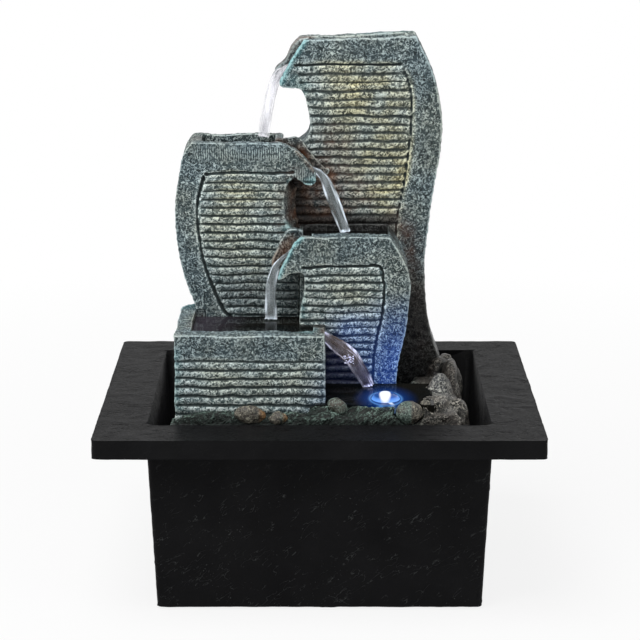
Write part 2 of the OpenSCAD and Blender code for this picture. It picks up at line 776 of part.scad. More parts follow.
// Low block in front with its own pool, open at the back against the left slab
module low_block() {
    top = bed_z + block_h;
    right = block_x + block_w;
    inner = block_x + block_side;
    color("#56605a")
        difference() {
            union() {
                box([block_x, block_y, bed_z], [right, left_y, top]);
                translate([block_x, left_y - 1, bed_z])
                    linear_extrude(block_h)
                        intersection() {
                            square([block_side + wing_more, wing_l + 1]);
                            union() {
                                square([block_side + wing_more, wing_l + 1 - wing_r]);
                                translate([wing_r, wing_l + 1 - wing_r])
                                    circle(wing_r);
                            }
                        }
            }
            box([inner, block_y + block_front, top - block_pool],
                [right - block_end, left_y + 1, top + 1]);
            box([front_x, front_y, bed_z - 1], [right + 1, left_y + 1, top + 1]);
            box([right - block_end - 1, block_y + notch_in, top - block_pool / 2],
                [right + 1, block_y + notch_in + notch_w, top + 1]);
            for (i = [0:floor((block_h - block_band) / block_groove)])
                translate([block_x - 1, block_y, top - block_band - i * block_groove])
                    v_cut(block_w + 2, groove_d);
        }
}

function left_outline(beak) = concat(curve(left_at(LEFT_LEFT)), curve(left_at(beak)),
    curve(left_at(LEFT_HOLLOW)), [[front_x, bed_z + hollow_foot * left_h], [front_x, bed_z]]);

module left_slab() {
    top = bed_z + left_h;
    pool_lo = top - top_pool;
    edge = tower_x - 4;
    ribs = concat(curve(left_at(LEFT_PANEL)), [[front_x + 1, bed_z + 0.31 * left_h],
        [front_x + 12, bed_z + 0.5 * left_h], [front_x + 12, bed_z + left_rib * left_h]]);
    frame = concat([[left_x + 0.935 * left_w, bed_z + left_rib * left_h]], curve(left_at(LEFT_PANEL)));
    color("#58635d")
        difference() {
            union() {
                plate(left_y, left_y + left_front + left_chute, left_outline(LEFT_BEAK));
                plate(left_y + left_front + left_chute, tower_y, left_outline(LEFT_BACK_BEAK));
                intersection() {
                    plate(tower_y, left_y + left_d, left_outline(LEFT_BEAK));
                    box([left_x - 5, left_y, bed_z], [tower_x, left_y + left_d, top + 5]);
                }
            }
            box([left_x + 0.2 * left_w, left_y + left_front, pool_lo],
                [edge, left_y + left_d - left_back, top + 2]);
            plate(left_y + left_front, left_y + left_front + left_chute,
                concat([[edge - 1, top + 4], [edge - 1, pool_lo]], curve(left_at(LEFT_FLUME)),
                    [[left_x + 1.25 * left_w, top + 4]]));
            grooves(left_y, ribs, [for (i = [1:1:floor(0.56 * left_h / left_pitch)])
                bed_z + left_rib * left_h - i * left_pitch]);
            plate(left_y - 1, left_y + line_d, band(frame, line_w));
            box([left_x - 5, left_y - 1, bed_z - 1],
                [block_x + block_side + wing_more, left_y + wing_l, bed_z + block_h]);
            plate(left_y - 1, tower_y, front_main());
        }
}

function front_outline() = concat(curve(front_at(FRONT_RIGHT)), curve(front_at(FRONT_BEAK)),
    [[front_x, bed_z]]);
function front_main() = concat(curve(front_at(FRONT_RIGHT)), [[front_x, bed_z + front_h],
    [front_x, bed_z]]);

module front_slab() {
    top = bed_z + front_h;
    pool_lo = top - top_pool;
    chute_y = front_y + front_beak;
    ribs = concat([[front_x - 2, bed_z + front_rib * front_h]], curve(front_at(FRONT_PANEL)),
        [[front_x - 2, bed_z + 0.07 * front_h]]);
    color("#5a655f")
        difference() {
            union() {
                plate(front_y, chute_y + front_chute, front_outline());
                plate(chute_y + front_chute, left_y, concat(curve(front_at(FRONT_RIGHT)),
                    curve(front_at(FRONT_BACK_BEAK)), [[front_x, bed_z]]));
                plate(left_y, tower_y, front_main());
            }
            box([front_x + 2, front_y + front_front, pool_lo],
                [front_x + 0.8 * front_w, tower_y - front_back, top + 2]);
            plate(chute_y, chute_y + front_chute,
                concat([[front_x + 6, top + 2], [front_x + 6, pool_lo]], curve(front_at(FRONT_FLUME)),
                    [[front_x - 0.3 * front_w, top + 2]]));
            grooves(front_y, ribs, [for (i = [1:1:floor(0.73 * front_h / front_pitch)])
                bed_z + front_rib * front_h - i * front_pitch]);
            plate(front_y - 1, front_y + line_d, band(curve(front_at(FRONT_PANEL)), line_w));
        }
}

function tower_outline(beak) = concat(curve(tower_at(TOWER_RIGHT)), curve(tower_at(beak)),
    curve(tower_at(TOWER_LEFT)), [[tower_x, bed_z]]);

module tower() {
    top = bed_z + tower_h;
    chute_y = tower_y + tower_front;
    back_y = tower_y + tower_d;
    rib_lo = front_h / tower_h;
    ribs = concat(tower_at([[7.7, 92.2]]), curve(tower_at(TOWER_PANEL)),
        tower_at([[-8, 40], [-8, 85.2], [12, 85.2]]));
    frame = concat(tower_at([[7, 92.2], [30, 92.2]]), curve(tower_at(TOWER_PANEL)));
    color("#56615b")
        difference() {
            union() {
                plate(tower_y, chute_y + tower_chute, tower_outline(TOWER_BEAK));
                plate(chute_y + tower_chute, back_y, tower_outline(TOWER_BACK_BEAK));
            }
            box([tower_x + 0.165 * tower_w, chute_y, tower_floor],
                [tower_x + 0.77 * tower_w, chute_y + tower_pool, top + 2]);
            plate(chute_y, chute_y + tower_chute, concat([[tower_x + 0.175 * tower_w, top + 2],
                [tower_x + 0.175 * tower_w, tower_floor]], curve(tower_at(TOWER_FLUME)),
                [[tower_x - 0.14 * tower_w, bed_z + 0.86 * tower_h], [tower_x - 0.14 * tower_w, top + 2]]));
            grooves(tower_y, ribs, [for (i = [1:1:floor((tower_rib - rib_lo) * tower_h / tower_pitch)])
                bed_z + tower_rib * tower_h - i * tower_pitch]);
            plate(tower_y - 1, tower_y + line_d, band(frame, line_w));
            box([tube_x - chase_w / 2, tube_y - chase_w / 2, bed_z - 1],
                [tube_x + chase_w / 2, back_y + 1, chase_top]);
            box([tube_x - cover_w / 2 - gap, back_y - cover_t, cover_lo - gap],
                [tube_x + cover_w / 2 + gap, back_y + 1, cover_hi + gap]);
            translate([tube_x, tube_y, chase_top - 1])
                cylinder(r = nozzle_r + run, h = tower_floor - chase_top + 2);
            screw_places()
                cylinder(r = screw_r + run, h = 9);
        }
}

// The four places of the cover's screws, pointing into the tower
module screw_places() {
    for (x = [-1, 1], z = [cover_lo + 4, cover_hi - 4])
        translate([tube_x + x * (cover_w / 2 - 3.2), tower_y + tower_d, z])
            rotate([90, 0, 0])
                children();
}

module tower_cover() {
    color("#474e4a")
        difference() {
            box([tube_x - cover_w / 2, tower_y + tower_d - cover_t, cover_lo],
                [tube_x + cover_w / 2, tower_y + tower_d, cover_hi]);
            screw_places() {
                translate([0, 0, -1])
                    cylinder(r = screw_r + 0.2, h = cover_t + 2);
                translate([0, 0, -1])
                    cylinder(r = 2.9, h = 2.4);
            }
        }
}

module cover_screws() {
    color("#9a9c9e")
        screw_places() {
            translate([0, 0, 0.2])
                cylinder(r = 2.7, h = 1.2);
            cylinder(r = screw_r, h = cover_t + 5);
        }
}

module riser_tube() {
    color("#cfd8da")
        translate([tube_x, tube_y, pump_hi + seat_h + gap])
            difference() {
                cylinder(r = tube_r, h = chase_top - pump_hi - seat_h - 2 * gap);
                translate([0, 0, -1])
                    cylinder(r = tube_bore, h = basin_h + tower_h);
            }
}

module outlet_fitting() {
    color("#2c2f31")
        translate([tube_x, tube_y, tower_floor])
            difference() {
                union() {
                    cylinder(r = tower_pool / 2 - gap, h = 1.6);
                    translate([0, 0, -16])
                        cylinder(r = nozzle_r, h = 17);
                }
                translate([0, 0, -17])
                    cylinder(r = nozzle_r - 1.3, h = 20);
            }
}

module led_housing() {
    color("#1a1a1c")
        translate([led_x, led_y, pool_floor])
            difference() {
                union() {
                    translate([0, 0, under_z - pool_floor + 1])
                        cylinder(r = led_r, h = pool_floor - under_z);
                    cylinder(r = led_r + led_flange, h = 1.6);
                    cylinder(r = led_r - 0.4, h = pool_depth - 2);
                }
                translate([0, 0, -4])
                    cylinder(r = led_r - 2, h = 20);
                translate([0, 0, -10])
                    cylinder(r = 3, h = 10);
                translate([0, 0, pool_depth - lens_sunk])
                    cylinder(r = led_r - 1, h = 5);
            }
}

module led_board() {
    color("#e9e9e2")
        translate([led_x, led_y, pool_floor - 4]) {
            cylinder(r = led_r - 2 - run, h = 1.6);
            translate([-1.75, -1.75, 1.5])
                cube([3.5, 3.5, 1.2]);
        }
}

module led_lens() {
    color("#dfeaf5", 0.6)
        translate([led_x, led_y, pool_z - lens_sunk])
            rotate_extrude()
                polygon(concat([[0, 0]], [for (a = [0:15:90])
                    [(led_r - 1 - run) * cos(a), lens_edge + (lens_h - lens_edge) * sin(a)]]));
}

module led_ring() {
    color("#141414")
        translate([led_x, led_y, under_z + hollow_h - 2.6])
            difference() {
                cylinder(r = led_r + ring_w, h = 2.6);
                translate([0, 0, -1])
                    cylinder(r = led_r + run, h = 5);
            }
}

// Worn round stone of width w and height h, lying on z = 0, grown by g
module pebble(w, h, g) {
    rotate_extrude($fn = 24)
        polygon([for (i = [0:8]) [(w / 2 + g) * sin(i * 22.5), h / 2 - (h / 2 + g) * cos(i * 22.5)]]);
}

// The worn stones in front and round the light, grown by g all round
module stones(g = 0) {
    for (q = STONES)
        translate([block_x + q[0], plinth_y + q[1], bed_z + q[2]])
            pebble(q[3], q[4], g);
    for (q = LIGHT_STONES)
        translate([led_x, led_y, bed_z + q[2]])
            rotate([0, 0, q[0]])
                translate([stone_away + q[1] + q[3] / 2, 0, 0])
                    pebble(q[3], q[4], g);
}

module pebbles() {
    color("#4d5650")
        stones();
}

// Broken stone with a wide foot and a leaning top
module rock(l, w, h, lean) {
    hull() {
        scale([l / w, 1, 1])
            cylinder(r = w * 0.5, h = h * 0.3, $fn = 9);
        translate([lean * 0.4, w * 0.05, h * 0.3])
            rotate([0, 0, 25])
                cylinder(r = min(l, w) * 0.5, h = h * 0.35, $fn = 7);
        translate([lean, 0, h * 0.65])
            rotate([0, 0, 50])
                cylinder(r1 = min(l, w) * 0.44, r2 = min(l, w) * 0.26, h = h * 0.35, $fn = 6);
    }
}

// The broken stones at the right end of the plinth
module side_rocks() {
    for (q = ROCKS)
        translate([plinth_x + plinth_w - q[0], plinth_y + q[1], bed_z - 1])
            rotate([0, 0, q[2]])
                rock(q[3], q[4], q[5], q[6]);
}

basin();
basin_feet();
cord_grommet();
pump_housing();
suction_cups();
rotor_shaft();
shaft_bushes();
chamber_seal();
volute();
pump_gland();
rotor_magnet();
impeller();
strainer();
flow_dial();
plinth();
plinth_pads();
low_block();
left_slab();
front_slab();
tower();
tower_cover();
cover_screws();
riser_tube();
outlet_fitting();
led_housing();
led_board();
led_lens();
led_ring();
pebbles();
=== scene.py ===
# %% [markdown]
# # Tabletop water fountain
# A black tub with a wide flat rim holds the water and a small pump. A cast resin cascade of four
# ribbed slabs stands in the tub's opening. Water climbs a tube inside the tower and falls from
# pool to pool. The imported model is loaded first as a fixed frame, and every piece made here rides
# on one of its bodies.

# %% Load the frame
import math

import bmesh
import bpy
import numpy as np
from mathutils import Matrix, Vector, noise


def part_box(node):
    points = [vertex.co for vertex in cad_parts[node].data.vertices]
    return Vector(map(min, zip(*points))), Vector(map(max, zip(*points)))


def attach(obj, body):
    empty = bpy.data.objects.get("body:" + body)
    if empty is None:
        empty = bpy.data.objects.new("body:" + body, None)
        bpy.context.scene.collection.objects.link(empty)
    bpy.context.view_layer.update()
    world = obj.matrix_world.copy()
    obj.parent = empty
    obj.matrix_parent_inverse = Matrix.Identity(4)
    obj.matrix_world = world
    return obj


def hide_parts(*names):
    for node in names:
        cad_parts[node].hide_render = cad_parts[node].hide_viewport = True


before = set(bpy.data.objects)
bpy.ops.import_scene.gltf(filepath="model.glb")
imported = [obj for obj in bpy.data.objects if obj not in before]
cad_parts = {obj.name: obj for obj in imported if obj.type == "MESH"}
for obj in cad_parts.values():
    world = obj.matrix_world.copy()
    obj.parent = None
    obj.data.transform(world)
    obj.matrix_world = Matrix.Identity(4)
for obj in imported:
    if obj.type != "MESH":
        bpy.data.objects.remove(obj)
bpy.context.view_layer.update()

MM = 0.001

# %% [markdown]
# ## Camera, floor and light
# The camera stands a metre in front of the fountain and looks down on it at about fifteen degrees.
# Its long lens keeps the tub's sides nearly upright. A large soft lamp above, a weaker one from
# each side and a white world give plain studio light. The backdrop is white only to the rays
# that see it directly or in a reflection, so it adds no light of its own to the piece.

# %% Put a thing in the scene
def add_object(name, data):
    """A new object with its data, in the scene."""
    made = bpy.data.objects.new(name, data)
    bpy.context.scene.collection.objects.link(made)
    return made


def add_mesh(name, bm):
    """A new object from a mesh that is still open for work; closes it."""
    mesh = bpy.data.meshes.new(name)
    bm.to_mesh(mesh)
    bm.free()
    return add_object(name, mesh)

# %% Camera
LENS = 118.0
TILT = 75.183
camera_data = bpy.data.cameras.new("camera")
camera_data.lens = LENS
camera_data.sensor_width = 36.0
camera = add_object("camera", camera_data)
camera.location = (0.0002, -0.99826, 0.392255)
camera.rotation_euler = (math.radians(TILT), 0, 0)
bpy.context.scene.camera = camera
bpy.context.scene.view_settings.view_transform = "Standard"
print("camera looks down by", round(90 - TILT, 1), "degrees")

# %% Helpers for materials
BLACK = (0, 0, 0, 1)
WHITE = (1, 1, 1, 1)


def srgb(code):
    """A colour from its hex code, in the linear values that the nodes use."""
    parts = [int(code[i:i + 2], 16) / 255 for i in (0, 2, 4)]
    return tuple(p / 12.92 if p <= 0.04045 else ((p + 0.055) / 1.055) ** 2.4 for p in parts) + (1.0,)


def fill(tree, socket, value):
    """Links a socket, or sets a value; a text is a colour's hex code."""
    if isinstance(value, bpy.types.NodeSocket):
        tree.links.new(value, socket)
    else:
        socket.default_value = srgb(value) if isinstance(value, str) else value


def feed(tree, shader, **sockets):
    """Fills the shader's own sockets, by their names."""
    for label, value in sockets.items():
        fill(tree, shader.inputs[label.replace("_", " ")], value)


def material(name, **plain):
    """A new material; the plain values go on the shader's own sockets."""
    mat = bpy.data.materials.new(name)
    mat.use_nodes = True
    tree = mat.node_tree
    tree.nodes.clear()
    shader = tree.nodes.new("ShaderNodeBsdfPrincipled")
    out = tree.nodes.new("ShaderNodeOutputMaterial")
    tree.links.new(shader.outputs[0], out.inputs["Surface"])
    feed(tree, shader, **plain)
    print("material:", name)
    return mat, tree, shader


def node(tree, kind, inputs=None, **settings):
    """A node with its settings and its filled inputs."""
    made = tree.nodes.new(kind)
    for key, value in settings.items():
        setattr(made, key, value)
    for key, value in (inputs or {}).items():
        fill(tree, made.inputs[key], value)
    return made

# %% Sums on values
def maths(tree, operation, a, b=0.0, clamp=False):
    """One sum on two values."""
    return node(tree, "ShaderNodeMath", {0: a, 1: b}, operation=operation, use_clamp=clamp).outputs[0]


def times(tree, a, b, clamp=False):
    return maths(tree, "MULTIPLY", a, b, clamp)


def most(tree, a, b):
    return maths(tree, "MAXIMUM", a, b)


def plus(tree, a, b):
    return maths(tree, "ADD", a, b)


def rest(tree, a):
    """What is left of one."""
    return maths(tree, "SUBTRACT", 1.0, a)


def off_middle(tree, cloud):
    """How far a noise is from its middle value, so that thin lines run where it is nought."""
    return maths(tree, "ABSOLUTE", maths(tree, "SUBTRACT", cloud, 0.5))


def ramp(tree, value, low, high, to_low=0.0, to_high=1.0):
    """A value stretched from low..high to to_low..to_high, and clamped."""
    return node(tree, "ShaderNodeMapRange",
        {0: value, 1: low, 2: high, 3: to_low, 4: to_high}).outputs[0]

# %% Places and noise
def place(tree):
    """Object coordinates, in metres."""
    return node(tree, "ShaderNodeTexCoord").outputs["Object"]


def mapped(tree, where, move=(0, 0, 0), turn=(0, 0, 0), scale=(1, 1, 1)):
    """Coordinates scaled, then turned, then moved."""
    return node(tree, "ShaderNodeMapping", {0: where, 1: move, 2: turn, 3: scale}).outputs[0]


def axis(tree, where, letter):
    return node(tree, "ShaderNodeSeparateXYZ", {0: where}).outputs[letter]


def length(tree, where):
    return node(tree, "ShaderNodeVectorMath", {0: where}, operation="LENGTH").outputs["Value"]


def grain(tree, where, per_metre, detail, rough=0.55, stretch=None, distortion=0.0):
    """Cloudy noise with features of 1 / per_metre, stretched by a scale along the axes."""
    if stretch:
        where = mapped(tree, where, scale=stretch)
    return node(tree, "ShaderNodeTexNoise", {"Vector": where, "Scale": per_metre, "Detail": detail,
        "Roughness": rough, "Distortion": distortion}).outputs["Fac"]


def patches(tree, where, noise_settings, *stretched):
    """Cloudy noise put through a ramp."""
    return ramp(tree, grain(tree, where, *noise_settings), *stretched)

# %% Colours, relief and shared groups
def mixed(tree, share, a, b):
    """Colour a turned into colour b by a share."""
    return node(tree, "ShaderNodeMix", {0: share, 6: a, 7: b}, data_type="RGBA").outputs[2]


def layered(tree, colour, *layers):
    """A colour under layers, each given by its share and its own colour."""
    for share, layer in layers:
        colour = mixed(tree, share, colour, layer)
    return colour


def bump(tree, shader, height, distance, strength):
    """Feeds a height in 0..1 into the shader's normal, as relief of a distance in metres."""
    made = node(tree, "ShaderNodeBump", {"Height": height, "Distance": distance, "Strength": strength})
    feed(tree, shader, Normal=made.outputs[0])


def group(name, inputs, outputs):
    """A new node group with named float or colour sockets; returns it with its inner ends."""
    tree = bpy.data.node_groups.new(name, "ShaderNodeTree")
    kinds = {"f": "NodeSocketFloat", "c": "NodeSocketColor", "v": "NodeSocketVector"}
    for label, kind, default in inputs:
        socket = tree.interface.new_socket(label, in_out="INPUT", socket_type=kinds[kind])
        socket.default_value = default
    for label, kind in outputs:
        tree.interface.new_socket(label, in_out="OUTPUT", socket_type=kinds[kind])
    print("group:", name)
    return tree, tree.nodes.new("NodeGroupInput").outputs, tree.nodes.new("NodeGroupOutput").inputs


def use(tree, shared, inputs):
    """Places a shared group in a material and returns its outputs."""
    return node(tree, "ShaderNodeGroup", inputs, node_tree=shared).outputs

# %% Floor
def seen_rays(tree):
    """1 for the rays that see a thing directly, in a reflection or through clear water."""
    rays = node(tree, "ShaderNodeLightPath").outputs
    through = most(tree, rays["Is Glossy Ray"], rays["Is Transmission Ray"])
    return most(tree, rays["Is Camera Ray"], through)


def backdrop_material():
    """White to the eye and in reflections; to the lamps a plain pale floor that takes shadows."""
    mat, tree, shader = material("studio_floor", Roughness=0.9, Base_Color=(0.8, 0.8, 0.8, 1))
    white = node(tree, "ShaderNodeEmission", {"Color": WHITE, "Strength": 1.0})
    share = times(tree, seen_rays(tree), ramp(tree, length(tree, place(tree)), 0.2, 0.65, 0.86, 1.0))
    both = node(tree, "ShaderNodeMixShader", {0: share, 1: shader.outputs[0], 2: white.outputs[0]})
    out = [n for n in tree.nodes if n.type == "OUTPUT_MATERIAL"][0]
    tree.links.new(both.outputs[0], out.inputs["Surface"])
    return mat


FLOOR_HALF = 12
bm = bmesh.new()
bmesh.ops.create_grid(bm, x_segments=1, y_segments=1, size=FLOOR_HALF)
floor = add_mesh("floor", bm)
floor.location.z = -0.0001
floor.data.materials.append(backdrop_material())

# %% World
WORLD_LIGHT = 0.34
world = bpy.data.worlds.new("studio")
world.use_nodes = True
bpy.context.scene.world = world
sky = world.node_tree
fill(sky, sky.nodes["Background"].inputs["Strength"], ramp(sky, seen_rays(sky), 0, 1, WORLD_LIGHT, 1.0))
fill(sky, sky.nodes["Background"].inputs["Color"], WHITE)
print("world light:", WORLD_LIGHT)

# %% Lamps
def soft_lamp(name, place_at, look_at, size, watts):
    data = bpy.data.lights.new(name, "AREA")
    data.shape = "DISK"
    data.size = size
    data.energy = watts
    lamp = add_object(name, data)
    lamp.location = place_at
    lamp.rotation_euler = (Vector(look_at) - Vector(place_at)).to_track_quat("-Z", "Y").to_euler()


MIDDLE = (0, 0, 0.15)
soft_lamp("lamp_top", (-0.25, -0.35, 1.1), MIDDLE, 0.7, 9.5)
soft_lamp("lamp_left", (-1.0, -0.9, 0.6), MIDDLE, 0.6, 4.5)
soft_lamp("lamp_right", (1.1, -0.5, 0.55), MIDDLE, 0.6, 2.2)
print("three soft lamps")

# %% [markdown]
# ## Tools for the cast pieces
# The slabs and the ground are polyresin, poured in a soft mould that was taken from a carved and
# modelled master. Such a skin could be sculpted by hand, or faked with bump alone. Here each CAD
# solid is copied, its doubles are merged, and a voxel remesh gives it an even skin of small
# faces. Its edges are rubbed down, and noise then moves its vertices, as the modeller's tool did.

# %% Even skin
SAME_PLACE = 1e-6


def open_copy(cad):
    """A copy of a CAD node's mesh, with its doubled corners merged, open for work."""
    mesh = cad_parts[cad].data.copy()
    bm = bmesh.new()
    bm.from_mesh(mesh)
    bmesh.ops.remove_doubles(bm, verts=bm.verts, dist=SAME_PLACE)
    return mesh, bm


def remeshed(mesh, bm, name, voxel):
    """An open mesh closed and given an even skin of small faces, as a new object."""
    bm.to_mesh(mesh)
    bm.free()
    source = add_object(name + "_source", mesh)
    step = source.modifiers.new("voxels", "REMESH")
    step.mode = "VOXEL"
    step.voxel_size = voxel * MM
    skin = bpy.data.meshes.new_from_object(source.evaluated_get(bpy.context.evaluated_depsgraph_get()))
    bpy.data.objects.remove(source)
    skin.materials.clear()
    skin.name = name
    return add_object(name, skin)


def soften(mesh, passes, where=None):
    """Rubs a mesh down; where picks the vertices by index."""
    bm = bmesh.new()
    bm.from_mesh(mesh)
    bm.verts.ensure_lookup_table()
    picked = bm.verts[:] if where is None else [bm.verts[int(i)] for i in where]
    for _ in range(passes):
        bmesh.ops.smooth_vert(bm, verts=picked, factor=0.5, use_axis_x=True, use_axis_y=True,
            use_axis_z=True)
    bm.to_mesh(mesh)
    bm.free()

# %% Vertices and stored numbers
def points(mesh):
    """The vertices in millimetres."""
    co = np.empty(len(mesh.vertices) * 3, dtype=np.float32)
    mesh.vertices.foreach_get("co", co)
    return co.reshape(-1, 3).astype(float) / MM


def normals(mesh):
    no = np.empty(len(mesh.vertices) * 3, dtype=np.float32)
    mesh.vertices.foreach_get("normal", no)
    return no.reshape(-1, 3).astype(float)


def move_to(mesh, co):
    """Puts the vertices at places in millimetres."""
    mesh.vertices.foreach_set("co", (co * MM).astype(np.float32).ravel())
    mesh.update()


def store(mesh, name, values):
    """Keeps one number for each vertex, for the material to read."""
    kept = mesh.attributes.new(name, "FLOAT", "POINT")
    kept.data.foreach_set("value", np.asarray(values, dtype=np.float32))


def read(tree, name):
    """The number that store kept."""
    return node(tree, "ShaderNodeAttribute", attribute_name=name).outputs["Fac"]

# %% Noise, paths and crests
def clouds(co, size, seed=0.0):
    """Smooth noise from -1 to 1 with lumps of a size in millimetres."""
    return np.array([noise.noise(p) for p in (co / size + seed).tolist()])


def lines(co, size, seed, width=0.22):
    """Thin raised worms: 1 on the lines where the noise is nought, 0 away from them."""
    return np.clip(1 - np.abs(clouds(co, size, seed)) / width, 0, 1)


def near(co, path, radius):
    """How near each vertex lies to a path of points: 1 on it, 0 at the radius."""
    best = np.full(len(co), 1e9)
    for a, b in zip(path, path[1:] or path):
        a, b = np.array(a, float), np.array(b, float)
        along = np.clip(((co - a) @ (b - a)) / max((b - a) @ (b - a), 1e-9), 0, 1)
        best = np.minimum(best, np.linalg.norm(co - a - along[:, None] * (b - a), axis=1))
    return np.clip(1 - best / radius, 0, 1)


def crest(mesh, passes):
    """How far each vertex stands out of a rubbed-down copy: above nought on edges, below in grooves."""
    low = mesh.copy()
    soften(low, passes)
    out = ((points(mesh) - points(low)) * normals(mesh)).sum(axis=1)
    bpy.data.meshes.remove(low)
    return out


def smooth_shade(mesh):
    mesh.polygons.foreach_set("use_smooth", np.ones(len(mesh.polygons), dtype=bool))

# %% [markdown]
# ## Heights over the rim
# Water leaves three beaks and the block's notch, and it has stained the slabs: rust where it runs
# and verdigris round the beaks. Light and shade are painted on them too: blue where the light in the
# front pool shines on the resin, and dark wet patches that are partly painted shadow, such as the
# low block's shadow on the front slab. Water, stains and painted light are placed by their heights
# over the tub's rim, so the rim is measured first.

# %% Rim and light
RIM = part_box("basin")[1].z / MM


def above(path):
    """Points with heights over the rim, as points with heights over the table."""
    return [(x, y, RIM + z) for x, y, z in path]


LIGHT = np.array(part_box("led_lens")).mean(axis=0) / MM
print("rim at", round(RIM, 1), "mm, light at", LIGHT.round(1))


def round_light(tree, where):
    """Flat coordinates with the light in the middle."""
    return mapped(tree, where, move=(-LIGHT[0] * MM, -LIGHT[1] * MM, 0), scale=(1, 1, 0))

# %% [markdown]
# ## Slate paint
# The resin is cast black, painted slate grey and dry-brushed: a nearly dry brush leaves pale paint
# only on the raised worms of the texture and on the edges, never in the grooves. One shader group
# does that for slabs, ground and stones, with different colours, and it also paints shade: hollows
# and the bottoms of the grooves turn to a deep colour. It could be a painted image, but noise on
# the object's own coordinates has no seams and any fineness.

# %% Group: dry-brushed stone
def make_brushed_stone():
    tree, given, out = group("brushed_stone",
        [("Where", "v", (0, 0, 0)), ("Crest", "f", 0.0), ("Edge", "f", 0.0), ("Groove", "f", 0.0),
            ("Amount", "f", 0.5), ("Fineness", "f", 360.0), ("Deep", "c", BLACK), ("Base", "c", BLACK),
            ("Pale", "c", WHITE), ("Dashes", "f", 0.0), ("Ticks", "f", 0.0)],
        [("Color", "c"), ("Pale share", "f"), ("Height", "f")])
    where, crest_in, groove, ticks = (given[name] for name in ("Where", "Crest", "Groove", "Ticks"))
    cloud = grain(tree, where, given["Fineness"], 2.0, distortion=1.1)
    off = off_middle(tree, cloud)
    breaks = grain(tree, where, 700, 0.0)
    dots = grain(tree, where, 1400, 1.0)
    worms = times(tree, ramp(tree, off, 0.014, 0.05, 1, 0), ramp(tree, breaks, 0.34, 0.46))
    fleck = most(tree, worms, ramp(tree, dots, 0.6, 0.72, 0, 0.6))
    slanted = mapped(tree, where, turn=(0, 0.75, 0))
    dash = patches(tree, slanted, (1000, 1.0, 0.55, (0.4, 1, 1)), 0.55, 0.62)
    fleck = most(tree, fleck, times(tree, dash, given["Dashes"]))
    comb = node(tree, "ShaderNodeTexWave", {"Vector": where, "Scale": 285.0, "Distortion": 2.6,
        "Detail": 1.0, "Detail Scale": 1.5}).outputs["Fac"]
    tick = times(tree, ramp(tree, comb, 0.6, 0.9), ramp(tree, breaks, 0.36, 0.5, 0.15, 1))
    fewer = times(tree, fleck, ramp(tree, ticks, 0, 1, 1, 0.45))
    fleck = most(tree, fewer, times(tree, tick, ticks))
    patch = patches(tree, where, (60, 2.0), 0.3, 0.7, -0.16, 0.16)
    raised = plus(tree, plus(tree, given["Amount"], patch), times(tree, crest_in, 0.3))
    share = times(tree, fleck, ramp(tree, raised, 0.0, 1.0, 0.1, 1.4), clamp=True)
    rubbed = times(tree, ramp(tree, given["Edge"], 0.4, 0.8), ramp(tree, breaks, 0.3, 0.44, 0.15, 1))
    share = most(tree, share, times(tree, rubbed, 0.9))
    share = times(tree, share, ramp(tree, groove, 0.15, 0.6, 1, 0.1))
    pits = times(tree, ramp(tree, off, 0.055, 0.12),
        patches(tree, where, (520, 1.0), 0.4, 0.55, 0.9, 0.25))
    # Painted shade: hollows and the bottoms of the grooves turn to the Deep colour.
    shade = most(tree, pits, ramp(tree, crest_in, -0.9, -0.2, 0.8, 0))
    shade = most(tree, shade, ramp(tree, groove, 0.6, 0.95, 0.0, 1))
    stone = mixed(tree, shade, given["Base"], given["Deep"])
    fill(tree, out["Color"], mixed(tree, share, stone, given["Pale"]))
    fill(tree, out["Pale share"], share)
    fill(tree, out["Height"], plus(tree, times(tree, fleck, 0.5),
        times(tree, grain(tree, where, 1100, 2.0), 0.5)))
    return tree


BRUSHED = make_brushed_stone()

